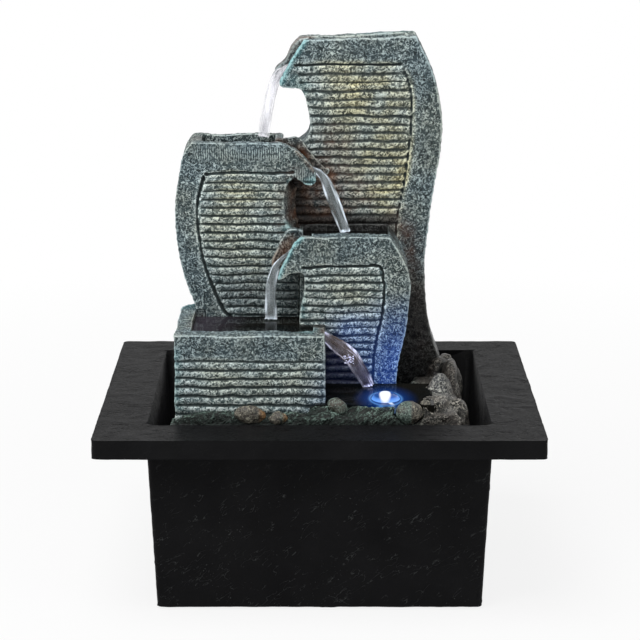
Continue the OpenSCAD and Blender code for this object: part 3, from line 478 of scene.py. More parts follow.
# %% Material: slabs
def make_slab_paint():
    mat, tree, shader = material("slate_paint", IOR=1.45, Specular_IOR_Level=0.3, Emission_Strength=1.0)
    where = place(tree)
    warm, painted_led_light, teal, rust, wet_and_shade, ribbed = (
        read(tree, name) for name in ("warm", "painted_led_light", "teal", "rust", "wet_and_shade", "ribbed"))
    mottle = patches(tree, where, (55, 2.0), 0.36, 0.56, 0.25, 1.0)
    warm = times(tree, times(tree, warm, mottle), ramp(tree, ribbed, 0.1, 0.6, 0.1, 1))
    tinge = patches(tree, where, (38, 2.0), 0.4, 0.62)
    ribs = times(tree, ribbed, 0.9)
    # The blue layers are painted light, the diode's glow on the resin.
    pale = layered(tree, mixed(tree, tinge, "b8cbce", "c6d0c9"),
        (ribs, "e8f4f3"), (warm, "e6e2b6"), (painted_led_light, "9cc0f2"), (teal, "a4d0d3"))
    base = layered(tree, mixed(tree, tinge, "35444a", "3d4a4a"),
        (ribs, "677a7c"), (warm, "6a6549"), (times(tree, painted_led_light, 0.9), "2a4478"), (teal, "3c7379"))
    brushed_on = ramp(tree, ribbed, 0, 1, 0.56, 0.84)
    stone = use(tree, BRUSHED, {"Where": where, "Crest": read(tree, "crest"),
        "Groove": read(tree, "groove"), "Edge": plus(tree, read(tree, "edge"), times(tree, teal, 0.3)),
        "Amount": maths(tree, "SUBTRACT", brushed_on, times(tree, read(tree, "back"), 0.3)),
        "Fineness": 455.0, "Deep": "172021", "Base": base, "Pale": pale, "Dashes": ribbed,
        "Ticks": read(tree, "ticks")})
    pale_share = stone["Pale share"]
    rusty = layered(tree, "1d1410", (patches(tree, where, (180, 3.0), 0.35, 0.7), "5a3723"),
        (times(tree, pale_share, 0.55), "a98468"))
    # Wet resin, dark and glossy, and painted shade where the wet mark stands for a shadow; its blue is
    # painted light.
    soaked_and_shaded = layered(tree, "14110f", (times(tree, pale_share, 0.3), "6d6a66"),
        (times(tree, painted_led_light, 0.8), "16204e"))
    uneven = patches(tree, where, (90, 2.0), 0.3, 0.6, 0.5, 1)
    tone = layered(tree, stone["Color"], (times(tree, rust, uneven), rusty),
        (times(tree, wet_and_shade, 0.92), soaked_and_shaded))
    damp = most(tree, rust, wet_and_shade)
    # Painted light: where the diode shines, the slabs glow blue as emission, less in the wet and shaded
    # places.
    glow = times(tree, maths(tree, "POWER", painted_led_light, 2.2), ramp(tree, wet_and_shade, 0, 0.7, 0.24, 0.02))
    spark = mixed(tree, pale_share, "1f56c8", "a8ccff")
    feed(tree, shader, Base_Color=tone, Roughness=ramp(tree, damp, 0.0, 0.8, 0.62, 0.3),
        Emission_Color=mixed(tree, glow, BLACK, spark))
    bump(tree, shader, stone["Height"], 0.00035, 0.8)
    return mat


SLATE = make_slab_paint()

# %% [markdown]
# ## The four slabs
# Each slab is a thick plate with a wavy outline, a ribbed panel inside a cut line, a pool in its
# top and a beak that pours. The ribs are neither straight nor alike, so slow noise bends the whole
# skin by a few tenths of a millimetre, and faster noise raises the worms that catch the brush. The
# grooves are found from the solid itself: they are the hollows that lie just behind its front.

# %% Grooves of a slab
def spread(mesh, values, times):
    """Smooths one number for each vertex over its neighbours."""
    ends = np.empty(len(mesh.edges) * 2, dtype=np.int32)
    mesh.edges.foreach_get("vertices", ends)
    a, b = ends[0::2], ends[1::2]
    count = np.bincount(a, minlength=len(values)) + np.bincount(b, minlength=len(values))
    for _ in range(times):
        total = np.bincount(a, values[b], len(values)) + np.bincount(b, values[a], len(values))
        values = total / count
    return values


def find_grooves(mesh, front, depth):
    """1 in the bottom of a groove of the front face, 0 on its crests and everywhere else."""
    behind = points(mesh)[:, 1] - front
    hollow = np.clip(-crest(mesh, 5) / 0.07, 0, 1)
    return np.where(behind < depth + 0.5, np.clip(behind / depth, 0, 1), 0) * hollow

# %% How a slab is made
# Marks stored on each slab: warm tone, verdigris, rust and chisel ticks, with painted light: the
# diode's blue glow, and wet patches that are partly painted shadow.
STAINS_AND_LIGHT = ("warm", "teal", "rust", "painted_led_light", "wet_and_shade", "ticks")
GROOVE_DEPTH = 1.1
FULL_CREST = 0.3


def stain_and_light(co, spots, front):
    """The sum of spots, each a share, a path over the rim and a radius; points lie on the slab's
    front unless they give a depth."""
    total = 0 * co[:, 0]
    for share, path, radius in spots:
        deep = [(p[0], p[1] if len(p) > 2 else front, p[-1]) for p in path]
        total = total + share * near(co, above(deep), radius)
    return total.clip(0, 1)


def cast_slab(cad, voxel, stains_and_light, shape=None):
    """The visible slab: an even skin, rubbed down, bent and roughened, with its stains, painted light
    and painted shade stored.
    """
    slab = remeshed(*open_copy(cad), cad + "_cast", voxel)
    mesh = slab.data
    if shape:
        move_to(mesh, shape(points(mesh)))
    front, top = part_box(cad)[0].y / MM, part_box(cad)[1].z / MM
    groove = find_grooves(mesh, front, GROOVE_DEPTH)
    ribbed = np.clip(spread(mesh, groove, 14) * 4, 0, 1)
    soften(mesh, 2, np.nonzero(groove < 0.02)[0])
    store(mesh, "edge", crest(mesh, 10) / FULL_CREST * (groove < 0.05) * (1 - 0.7 * ribbed))
    store(mesh, "back", normals(mesh)[:, 1].clip(0, 1))
    co = points(mesh)
    seed = float(sum(map(ord, cad)) % 97)
    bend = np.stack([clouds(co, 21, seed), clouds(co, 23, seed + 7), clouds(co, 13, seed + 13)], axis=1)
    co = co + bend * np.array([0.5, 0.2, 0.75])
    co[:, 2] += 0.3 * clouds(co, 4.5, seed + 17) * ribbed
    no = normals(mesh)
    lumps = 0.3 * clouds(co, 2.1, seed + 3) + 0.16 * lines(co, 2.3, seed)
    rough = lumps * (1 - 0.6 * groove) + 0.22 * clouds(co, 6, seed + 5)
    co = co + no * (rough - 0.26)[:, None]
    co[:, 1] += 0.25 * groove
    co[:, 2] = np.minimum(co[:, 2], top)
    move_to(mesh, co)
    store(mesh, "crest", crest(mesh, 12) / FULL_CREST)
    store(mesh, "groove", groove)
    store(mesh, "ribbed", ribbed * (1 - groove))
    for name in STAINS_AND_LIGHT:
        store(mesh, name, stain_and_light(co, stains_and_light.get(name, []), round(front)))
    mesh.materials.append(SLATE)
    smooth_shade(mesh)
    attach(slab, "cascade")
    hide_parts(cad)
    print(cad, len(mesh.polygons), "faces")

# %% Tower
cast_slab("tower", 0.71, {
    "warm": [(1.1, [(20, 148), (32, 128), (36, 96)], 34)],
    "teal": [(1.3, [(-7.7, 170), (-12.9, 162.6), (-16.6, 156), (-19.3, 150)], 3.2),
        (0.7, [(-13, 18, 150), (-8, 18, 147)], 6), (0.5, [(20, 38, 172), (40, 38, 172)], 8)],
    "rust": [(1.5, [(-14, 104), (-2, 96), (2, 84)], 17), (0.55, [(6, 118), (16, 92)], 16),
        (0.6, [(-10, 90), (-8, 60)], 12), (0.55, [(38, 82), (45, 70), (48, 40), (50, 14)], 9),
        (1.2, [(-8, 31, 170), (-18, 30, 150)], 7)],
    # The wet spots are partly wet resin, under the beak and by the front pool, and partly painted
    # shade: low on the right and in the hollow behind the left slab.
    "wet_and_shade": [(1.4, [(50, 16, 0), (50, 16, 30)], 38), (0.7, [(-14, 26, 164), (-20, 26, 150)], 5),
        (1.5, [(-14, 103), (-13, 84)], 9), (1.6, [(-8, 81), (36, 81)], 4)]})

# %% Left slab
def slant_hollow(co):
    """Leans the wall of the hollow under the beak, so that it widens towards the front."""
    x, y, z = co.T
    share = np.clip((x + 20) / 2.4, 0, 1) * np.clip((y - 0.6) / 11, 0, 1) * np.clip((-9 - x) / 4, 0, 1)
    share *= np.clip((z - RIM - 77) / 5, 0, 1) * np.clip((RIM + 103 - z) / 5, 0, 1) * (y < 14.4)
    return np.stack([x + 5.5 * share, y, z], axis=1)


cast_slab("left_slab", 0.6, {
    "warm": [(0.75, [(-42, 99), (-28, 92)], 17), (0.45, [(-50, 80), (-30, 62)], 18)],
    "teal": [(0.9, [(-1.7, 104), (-8, 102), (-14, 103)], 3),
        (1, [(-14.8, 80.7), (-10, 77), (-10, 70)], 5), (0.9, [(-14, 20, 122), (-4, 20, 114)], 6)],
    "rust": [(1.4, [(-13, 11, 107), (-18, 11, 92), (-13, 11, 78)], 13),
        (1.4, [(-20, 9, 120), (-12, 9, 117), (-1, 9, 107)], 7.5),
        (0.8, [(-11, 118), (-3, 109)], 1.6)],
    # The wet spots are partly wet resin, by the pool and under the beak, and partly painted shade low
    # on the slab, over the low block.
    "wet_and_shade": [(1.0, [(-14, 10, 117), (-2, 10, 107)], 5), (0.9, [(-58, 15, 120), (-22, 15, 120)], 10),
        (1.3, [(-10, 6, 101), (-17, 12, 99)], 5), (0.5, [(-44, 48), (-14, 46)], 15)],
    "ticks": [(1.5, [(-58, 117), (-20, 117)], 5), (1.4, [(-9, 107), (-5, 103)], 5)]}, slant_hollow)

# %% Front slab
cast_slab("front_slab", 0.58, {
    "warm": [(0.5, [(2, 60), (14, 52)], 18)],
    "teal": [(1.3, [(-8.9, 79.5), (-13.2, 75), (-17.9, 66), (-20.4, 59)], 2.5),
        (0.5, [(-8, 40), (-9, 50)], 3)],
    "rust": [(1.3, [(-14, -7, 74), (-22, -7, 64)], 6), (0.5, [(44, -2, 66), (45, -2, 30)], 8),
        (0.8, [(1, 27), (10, 21)], 7)],
    # Painted light: blue where the diode shines on the front slab.
    "painted_led_light": [(1.05, [(LIGHT[0] - 1, 2), (LIGHT[0] + 6, 20)], 34), (0.5, [(4, 12), (12, 34)], 14)],
    # The wet spots are partly wet resin, along the pool, and partly painted shade: low on the left they
    # paint the low block's shadow.
    "wet_and_shade": [(1.2, [(40, 2, 0), (40, 2, 30)], 14), (1.9, [(-8, 2), (2, 16)], 20),
        (1.7, [(4, 2), (17, 3)], 13), (1.3, [(-8, 2, 77), (33, 2, 77)], 10),
        (2.2, [(-8, 13, 79), (35, 13, 79)], 6.5)]})

# %% Low block
def wear_notch(co):
    """Wears the end wall behind the notch down to just above the water."""
    x, y, z = co.T
    y, high = y + 25, z - RIM
    share = np.clip((x + 6.5) / 2, 0, 1) * np.clip(y / 1.5, 0, 1) * np.clip((high - 34) / 2, 0, 1)
    return np.stack([x, y - 25, z - share * np.clip(high - 36.8 + 0.05 * y, 0, 3)], axis=1)


cast_slab("low_block", 0.6, {
    "warm": [(0.4, [(-50, 20), (-10, 16)], 14)],
    "teal": [(0.5, [(-69, 5), (-69, 30)], 5), (0.6, [(-5, -38, 39)], 8),
        (1, [(-67, 8, 36), (-60, 16, 38)], 9)],
    "rust": [(0.7, [(2, -40, 38), (2, -28, 36)], 7), (1, [(-60, -30, 34), (-58, -3, 34)], 7)],
    # Painted light: blue where the diode shines on the block.
    "painted_led_light": [(0.6, [(LIGHT[0] - 14, LIGHT[1], 10)], 30)],
    "wet_and_shade": [(1.6, [(0, -24, 37), (0, -2, 37)], 6)]}, wear_notch)

# %% [markdown]
# ## The tub
# The real tub is one injection-moulded shell in black plastic, with a slate grain etched in the
# mould: low lumps, a few thin raised cracks and a satin gloss. Its thin lines carry painted light:
# pale glints on the walls, fewer in the shade just under the rim, and dark shadow on faces that look
# up. The CAD solid has the right shape, so its mesh is copied, the large outer faces are cut into
# small squares, and their vertices are moved by noise. A remesh would melt the thin walls, so only
# the outer faces are made fine.

# %% Cut the outer faces into squares
def outer_faces(bm, low, high):
    """The tub's rim, skirt and drafted outer walls, by where they face."""
    picked = []
    for face in bm.faces:
        n, c = face.normal, face.calc_center_median()
        rim_top = n.z > 0.99 and c.z > high.z - 0.0002
        at_skirt = max(abs(c.x) - high.x, c.y - high.y, low.y - c.y) > -0.0008
        skirt = at_skirt and abs(n.z) < 0.01 and n.x * c.x + n.y * c.y > 0
        wall = -0.06 < n.z < -0.02
        if rim_top or skirt or wall:
            picked.append(face)
    return picked


def slice_faces(bm, faces, direction, start, stop, step):
    """Cuts the picked faces along a row of planes and returns them with their new parts."""
    for at in np.arange(start + step / 2, stop, step):
        edges = {e for f in faces for e in f.edges}
        verts = {v for f in faces for v in f.verts}
        cut = bmesh.ops.bisect_plane(bm, geom=faces + list(edges) + list(verts),
            dist=SAME_PLACE / 10, plane_co=Vector(direction) * float(at), plane_no=direction)
        faces = [g for g in cut["geom"] if isinstance(g, bmesh.types.BMFace)]
    return faces


SQUARE = 0.0084
FLAT_ANGLE = 0.01
tub_mesh, bm = open_copy("basin")
bmesh.ops.dissolve_limit(bm, angle_limit=FLAT_ANGLE, verts=bm.verts, edges=bm.edges)
low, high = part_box("basin")
faces = outer_faces(bm, low, high)
print(len(faces), "outer faces before cutting")
for k, direction in enumerate(((1, 0, 0), (0, 1, 0), (0, 0, 1))):
    faces = slice_faces(bm, faces, direction, low[k], high[k], SQUARE)
print(len(faces), "after cutting")

# %% Roughen the tub
CUTS = 5
edges = list({e for f in faces for e in f.edges})
bmesh.ops.subdivide_edges(bm, edges=edges, cuts=CUTS, use_grid_fill=True)
bm.normal_update()
moving = {v: v.normal.copy() for f in outer_faces(bm, low, high) for v in f.verts}
places = np.array([v.co[:] for v in moving]) / MM
lumps = 0.16 * clouds(places, 15) + 0.12 * clouds(places, 5, 3) + 0.06 * clouds(places, 2.4, 5)
cracks = lines(places * (1, 1, 1.25), 26, 11, 0.05)
cracks = cracks * np.clip(0.4 + clouds(places, 9, 21) * 2, 0, 1)
for (v, n), out in zip(moving.items(), (lumps + 0.28 * cracks - 0.34) * MM):
    v.co += n * float(out)
bm.to_mesh(tub_mesh)
bm.free()
tub = add_object("tub_shell", tub_mesh)
smooth_shade(tub_mesh)
SHARP_EDGE = math.radians(40)
tub_mesh.set_sharp_from_angle(angle=SHARP_EDGE)
print("tub:", len(tub_mesh.polygons), "faces")

# %% Material: black slate-grained plastic
def make_tub_plastic():
    mat, tree, shader = material("black_grained_plastic", IOR=1.46, Specular_IOR_Level=0.04)
    where = place(tree)
    turned = mapped(tree, where, turn=(0.6, 0.7, 0.1))
    cloud = grain(tree, turned, 330, 2.0, 0.55, (0.13, 1, 1), 0.3)
    some = patches(tree, turned, (210, 1.0, 0.5, (0.5, 1, 1)), 0.52, 0.6)
    scratch_glint = times(tree, ramp(tree, off_middle(tree, cloud), 0.0, 0.014, 1, 0), some)
    speck = times(tree, patches(tree, where, (1300, 0.0), 0.77, 0.82),
        patches(tree, where, (60, 1.0), 0.52, 0.62))
    # Painted shade: fewer pale glints just under the overhanging rim.
    below_rim = ramp(tree, axis(tree, where, "Z"), 0.056, 0.078, 1, 0.08)
    scratch_glint = times(tree, most(tree, scratch_glint, speck), below_rim)
    wave = grain(tree, where, 240, 2.0, 0.6, (0.3, 1, 1), 0.4)
    crack_shadow = ramp(tree, off_middle(tree, wave), 0.0, 0.03, 1, 0)
    crack_shadow = times(tree, crack_shadow, patches(tree, where, (120, 1.0), 0.42, 0.56))
    # Painted light: the thin lines are pale glints on the walls and dark shadow on faces that look up.
    facing = node(tree, "ShaderNodeNewGeometry").outputs["Normal"]
    flat = ramp(tree, axis(tree, facing, "Z"), 0.5, 0.9)
    crack_shadow = times(tree, crack_shadow, flat)
    scratch_glint = times(tree, scratch_glint, rest(tree, flat))
    fine = grain(tree, where, 900, 3.0, 0.65)
    cloudy = patches(tree, where, (35, 3.0), 0.3, 0.7)
    tone = layered(tree, "101011", (cloudy, "171718"), (times(tree, scratch_glint, 0.75), "444646"),
        (times(tree, crack_shadow, 0.85), "030303"))
    feed(tree, shader, Base_Color=tone, Roughness=ramp(tree, fine, 0.3, 0.7, 0.34, 0.5))
    relief = plus(tree, maths(tree, "SUBTRACT", scratch_glint, crack_shadow), times(tree, fine, 0.45))
    bump(tree, shader, relief, 0.0003, 0.8)
    return mat


tub_mesh.materials.clear()
tub_mesh.materials.append(make_tub_plastic())
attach(tub, "basin")
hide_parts("basin")

# %% [markdown]
# ## The ground and its rocks
# The plinth is cast in one with the rocks at its right end, and a low shelf round the front pool.
# Lumps are added as small spheres, squashed and turned, and the voxel remesh melts them into the
# ground as clay would. Short slanting strokes on the front edge look like the mossy relief that
# the modeller scratched there.

# %% Lumps of rock
def add_lump(bm, at, size, turn=0.0, lean=0.0, fine=3):
    """One rounded lump, its middle and size in millimetres; returns its vertices."""
    new = bmesh.ops.create_icosphere(bm, subdivisions=fine, radius=0.5)["verts"]
    turned = Matrix.Rotation(math.radians(turn), 4, "Z") @ Matrix.Rotation(math.radians(lean), 4, "Y")
    bmesh.ops.transform(bm, verts=new, matrix=Matrix.Translation(Vector(at) * MM) @ turned
        @ Matrix.Diagonal((*[s * MM for s in size], 1)))
    return new


ground, bm = open_copy("plinth")
for at, size, turn, lean in (
        ((59, -24, 3), (13, 14, 23), 8, -7), ((66.5, -34, -2), (11, 16, 13), 15, 0),
        ((50, -22, 2), (11, 9, 8), 30, 0), ((60, -50, -2), (18, 7, 7), 10, 0),
        ((5, -54, 0), (26, 6, 9), 3, 0), ((25, -55.5, 1), (24, 4.5, 8), -2, 0),
        ((-46, -53.2, -1.5), (46, 6, 12), 1, 0), ((-14, -53.2, -1.5), (40, 6, 11), -1, 1),
        ((64.5, 0, 6), (9, 28, 17), 0, 6), ((60, 14, 4), (14, 16, 15), 0, 0),
        ((52, -8, 2), (16, 12, 8), 0, 0), ((56, 6, 0), (14, 14, 9), 0, 0)):
    add_lump(bm, above([at])[0], size, turn, lean)
rocks = remeshed(ground, bm, "ground_cast", 0.9)

# %% Roughen the ground
mesh = rocks.data
soften(mesh, 6)
co, no = points(mesh), normals(mesh)
right = np.clip((co[:, 0] - 42) / 8, 0, 1)
strokes = lines(co @ np.array([[0.8, 0, 0.6], [0, 1, 0], [-0.25, 0, 0.35]]).T, 2.6, 4)
rough = 0.7 * clouds(co, 9, 2) + 0.2 * clouds(co, 3.6, 8) * right + 0.5 * strokes * (1 - right)
rough = rough + 0.16 * clouds(co, 2, 6)
under = np.clip((co[:, 2] - RIM + 8) / 3, 0.1, 1)
move_to(mesh, co + no * ((rough - 0.5) * under)[:, None])
store(mesh, "crest", crest(mesh, 12) / 0.35)
# On the ground the wet mark holds only the wet rocks at the right end.
store(mesh, "wet_and_shade", right)
store(mesh, "grey", near(co, above([(57, -29, 16), (58, -30, 9)]), 9) ** 0.6)
salty = near(co, above([(63, -36, 8), (58, -40, 1), (50, -46, 0)]), 9)
salty = salty + near(co, above([(54, -30, 9), (62, -32, 1)]), 10)
store(mesh, "salt", (salty * 1.9 + 0.4 * (1 - right)).clip(0, 1))
# Painted light: blue from the diode on the ground round it.
store(mesh, "painted_led_light", near(points(mesh), above([(LIGHT[0], LIGHT[1], 7)]), 15))
smooth_shade(mesh)
print("ground:", len(mesh.polygons), "faces")

# %% Material: wet rock and moss
def make_rock_paint():
    mat, tree, shader = material("wet_rock_paint", IOR=1.45, Specular_IOR_Level=0.2)
    where = place(tree)
    wet_and_shade, painted_led_light, grey = read(tree, "wet_and_shade"), read(tree, "painted_led_light"), read(tree, "grey")
    dry = rest(tree, wet_and_shade)
    turned = mapped(tree, where, turn=(0, 0.55, 0))
    strokes = patches(tree, turned, (400, 2.0, 0.6, (0.3, 1, 1), 0.3), 0.46, 0.56)
    # Painted shade: the ground is darker low down, near the rim of the tub.
    foot = ramp(tree, axis(tree, where, "Z"), (RIM - 1) * MM, (RIM + 4.6) * MM, 0.85, 0)
    low = times(tree, foot, dry)
    # The blue layer below is painted light from the diode.
    base = layered(tree, mixed(tree, strokes, "0b100e", "212c27"), (wet_and_shade, "231d1a"),
        (patches(tree, where, (120, 2.0), 0.4, 0.65), "1d1e1c"), (low, "090d0b"),
        (grey, "505254"), (times(tree, painted_led_light, 0.8), "14469c"))
    pale = layered(tree, "7d948a", (wet_and_shade, "c0bbb0"), (grey, "b4b5ae"))
    moss = most(tree, maths(tree, "SUBTRACT", strokes, low), wet_and_shade)
    stone = use(tree, BRUSHED, {"Where": where, "Crest": read(tree, "crest"),
        "Amount": times(tree, ramp(tree, read(tree, "salt"), 0, 1, 0.12, 1.1), moss),
        "Fineness": 520.0, "Deep": "0c0f0e", "Base": base, "Pale": pale,
        "Dashes": ramp(tree, wet_and_shade, 0, 1, 0.7, 0)})
    feed(tree, shader, Base_Color=stone["Color"], Roughness=ramp(tree, wet_and_shade, 0, 1, 0.5, 0.32))
    bump(tree, shader, plus(tree, stone["Height"], times(tree, strokes, dry)), 0.0004, 0.9)
    return mat


mesh.materials.append(make_rock_paint())
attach(rocks, "cascade")
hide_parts("plinth")

# %% [markdown]
# ## Stones along the front
# Five worn stones are bonded to the ground along its front edge. Each starts as an icosphere, is
# squashed to an egg, and gets its lumps from noise.

# %% Pebbles
def make_stones():
    bm = bmesh.new()
    for at, size, turn, lean in (
            ((-32.8, -54.4, 2.4), (15, 6.6, 9), 5, 8), ((-19.4, -54.8, 0.8), (9, 5.6, 6.4), 0, -6),
            ((8.5, -52.4, 5.8), (11, 6.5, 7.4), -8, 24), ((42.1, -53.6, 3.3), (13, 12.6, 11), 0, 0),
            ((50.6, -49.2, 5.3), (6.4, 6, 4.8), 10, 10)):
        lump = add_lump(bm, above([at])[0], size, turn, lean)
        bmesh.ops.subdivide_edges(bm, edges=list({e for v in lump for e in v.link_edges}), cuts=1,
            use_grid_fill=True, smooth=1.0)
    bm.normal_update()
    for v in bm.verts:
        p = v.co / MM
        v.co += v.normal * MM * (0.6 * noise.noise(p / 3.6) + 0.3 * noise.noise(p / 1.4) - 0.15)
    stones = add_mesh("front_stones", bm)
    smooth_shade(stones.data)
    store(stones.data, "crest", crest(stones.data, 3) / 0.15)
    print("stones:", len(stones.data.polygons), "faces")
    return stones


def make_pebble_paint():
    mat, tree, shader = material("worn_stone_paint", Roughness=0.55, IOR=1.45)
    where = place(tree)
    x = axis(tree, where, "X")
    brown = most(tree, ramp(tree, x, 0.0425, 0.0437), ramp(tree, x, -0.019, -0.017, 1, 0))
    first = times(tree, ramp(tree, x, -0.029, -0.0262), ramp(tree, x, -0.0245, -0.024, 1, 0))
    second = times(tree, ramp(tree, x, -0.0178, -0.0156), ramp(tree, x, -0.006, -0.005, 1, 0))
    ochre = most(tree, first, second)
    patch = patches(tree, where, (90, 1.0), 0.45, 0.55)
    base = layered(tree, "3d4a44", (patch, "454038"), (brown, "3a352f"),
        (times(tree, ochre, 0.8), "8a6238"))
    pale = layered(tree, "8fa398", (brown, "a09c8c"), (ochre, "d0a673"))
    stone = use(tree, BRUSHED, {"Where": where, "Crest": read(tree, "crest"), "Amount": 0.5,
        "Fineness": 700.0, "Deep": "1c2220", "Base": base, "Pale": pale})
    feed(tree, shader, Base_Color=stone["Color"])
    bump(tree, shader, stone["Height"], 0.00025, 0.8)
    return mat


stones = make_stones()
stones.data.materials.append(make_pebble_paint())
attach(stones, "cascade")
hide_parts("pebbles")

# %% [markdown]
# ## Water
# The pools are nearly black and mirror the slabs behind them, so each is a thin closed body with a
# rippled top and a very smooth dark surface. Painted light is drawn on the water as emission: a
# blue glow round the diode with a white streak of its reflection, and a paler patch at the lit end
# of the low block's pool. Falling water splits into strands, so each fall is a few oval rings drawn
# side by side down the same course: broad clear ones in the middle and thin white ones at the edges.
# An attribute says how white each ring is: partly foam, partly painted highlight that glows a little.

# %% Water materials
def make_pool_water():
    mat, tree, shader = material("pool_water", Roughness=0.05, IOR=1.33, Specular_IOR_Level=0.1,
        Emission_Strength=1.0)
    where = place(tree)
    # The last layer is painted light: a paler patch at the lit end of the low block's pool.
    tone = layered(tree, "0b1012", (patches(tree, where, (45, 2.0), 0.35, 0.65), "161512"),
        (read(tree, "painted_lit_end"), "37333a"))
    # Painted light: a blue glow and a pale ring round the diode, and a white streak of its reflection,
    # drawn as emission.
    flat = round_light(tree, where)
    away = length(tree, mapped(tree, flat, scale=(1, 0.68, 1)))
    x, y = (axis(tree, flat, a) for a in "XY")
    beam = maths(tree, "ABSOLUTE", plus(tree, x, times(tree, y, 0.3)))
    ends = times(tree, ramp(tree, y, -0.0045, -0.0025, 1, 0), ramp(tree, y, -0.011, -0.0075))
    beam = times(tree, ramp(tree, beam, 0.0005, 0.0013, 1, 0), ends)
    halo = maths(tree, "POWER", ramp(tree, away, 0.006, 0.0165, 1, 0), 1.6)
    ring = times(tree, ramp(tree, away, 0.0066, 0.0074), ramp(tree, away, 0.0078, 0.0088, 1, 0))
    light = mixed(tree, ring, "0846a0", "5c9cf0")
    lit = most(tree, times(tree, halo, 0.6), times(tree, ring, 0.6))
    feed(tree, shader, Base_Color=tone,
        Emission_Color=layered(tree, BLACK, (lit, light), (beam, "e4f0ff")))
    bump(tree, shader, grain(tree, where, 130, 2.0), 0.0002, 0.35)
    return mat


def make_falling_water(name, clear, foam_and_highlight, glow, lit=False):
    mat, tree, shader = material(name, Roughness=0.12, IOR=1.12, Transmission_Weight=0.8,
        Emission_Strength=1.0)
    where = place(tree)
    threads = grain(tree, where, 520, 2.0, 0.5, (1, 1, 0.1))
    # The white is foam and painted highlight along the strands' edges, and the glow makes it shine a
    # little as emission.
    white = times(tree, read(tree, "foam_and_highlight"), ramp(tree, threads, 0.4, 0.58, 0.4, 1.0))
    body = clear
    # Painted light: the lit fall turns blue near the diode.
    if lit:
        gap = node(tree, "ShaderNodeVectorMath", {0: where, 1: LIGHT * MM}, operation="DISTANCE")
        near_light = ramp(tree, gap.outputs["Value"], 0.012, 0.026, 0.85, 0)
        body = mixed(tree, near_light, clear, "3c62c4")
    feed(tree, shader, Base_Color=mixed(tree, white, body, foam_and_highlight),
        Emission_Color=mixed(tree, times(tree, white, glow), BLACK, foam_and_highlight))
    bump(tree, shader, grain(tree, where, 330, 1.0, 0.5, (1, 1, 0.12)), 0.0003, 0.5)
    return mat


POOL_WATER = make_pool_water()
MILKY_FALL = make_falling_water("milky_fall", "efeff2", "f7f7fa", 0.32)
CLEAR_FALL = make_falling_water("clear_fall", "aeb4b4", "eef6ff", 0.5)
LIT_FALL = make_falling_water("lit_fall", "a0938c", "dfe4ff", 0.5, lit=True)

# %% Pools
CELL = 0.9
SHORE_EDGE = math.radians(50)


def pour(made, mat):
    """Gives a piece of water its material and the body it rides on."""
    made.data.materials.append(mat)
    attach(made, "cascade")
    print(made.name, len(made.data.polygons), "faces")


def pool(name, x, y, top, deep, painted_lit_end=None):
    """A shallow body of water with a rippled top, between two x, two y and at a height over the rim."""
    wide, long = x[1] - x[0], y[1] - y[0]
    middle = Vector(((x[0] + x[1]) / 2 * MM, (y[0] + y[1]) / 2 * MM, (RIM + top) * MM))
    bm = bmesh.new()
    bmesh.ops.create_grid(bm, x_segments=int(wide / CELL), y_segments=int(long / CELL), size=0.5)
    bmesh.ops.transform(bm, verts=bm.verts,
        matrix=Matrix.Translation(middle) @ Matrix.Diagonal((wide * MM, long * MM, 1, 1)))
    for v in bm.verts:
        p = v.co / MM
        v.co.z += MM * (0.1 * noise.noise(p / 7) + 0.03 * noise.noise(p / 2.5))
    shore = [e for e in bm.edges if e.is_boundary]
    wall = bmesh.ops.extrude_edge_only(bm, edges=shore)["geom"]
    bmesh.ops.translate(bm, verts=[g for g in wall if isinstance(g, bmesh.types.BMVert)],
        vec=(0, 0, -deep * MM))
    bmesh.ops.holes_fill(bm, edges=[e for e in bm.edges if e.is_boundary])
    bmesh.ops.recalc_face_normals(bm, faces=bm.faces)
    made = add_mesh(name, bm)
    mesh = made.data
    smooth_shade(mesh)
    mesh.set_sharp_from_angle(angle=SHORE_EDGE)
    if painted_lit_end:
        store(mesh, "painted_lit_end", near(points(mesh), above(painted_lit_end), 22))
    pour(made, POOL_WATER)


pool("water_tower", (-5.4, 42.4), (18.8, 31.2), 168, 3)
pool("water_left", (-58, -21.8), (5.8, 25.2), 119, 2)
pool("water_front", (-8.2, 33.4), (-7.2, 12.2), 76.4, 2)
# Painted light: a paler patch at this pool's lit end.
pool("water_block", (-61.4, -3), (-39.2, -0.2), 36, 4, [(-62, -39, 36), (-54, 0, 36)])
pool("water_base", (-2, 54), (-52, -16.3), 6.4, 4)

# %% Falls
STEPS = 14


def smooth_line(path):
    """Points on a smooth curve through the knots of a path."""
    knots = [Vector(p) for p in path]
    last = len(knots) - 2
    line = []
    for i in range(last + 1):
        a, b, c, d = knots[max(i - 1, 0)], knots[i], knots[i + 1], knots[min(i + 2, last + 1)]
        for j in range(STEPS + (i == last)):
            t = j / STEPS
            line.append(0.5 * (2 * b + (c - a) * t + (2 * a - 5 * b + 4 * c - d) * t * t
                + (3 * b - a - 3 * c + d) * t ** 3))
    return line


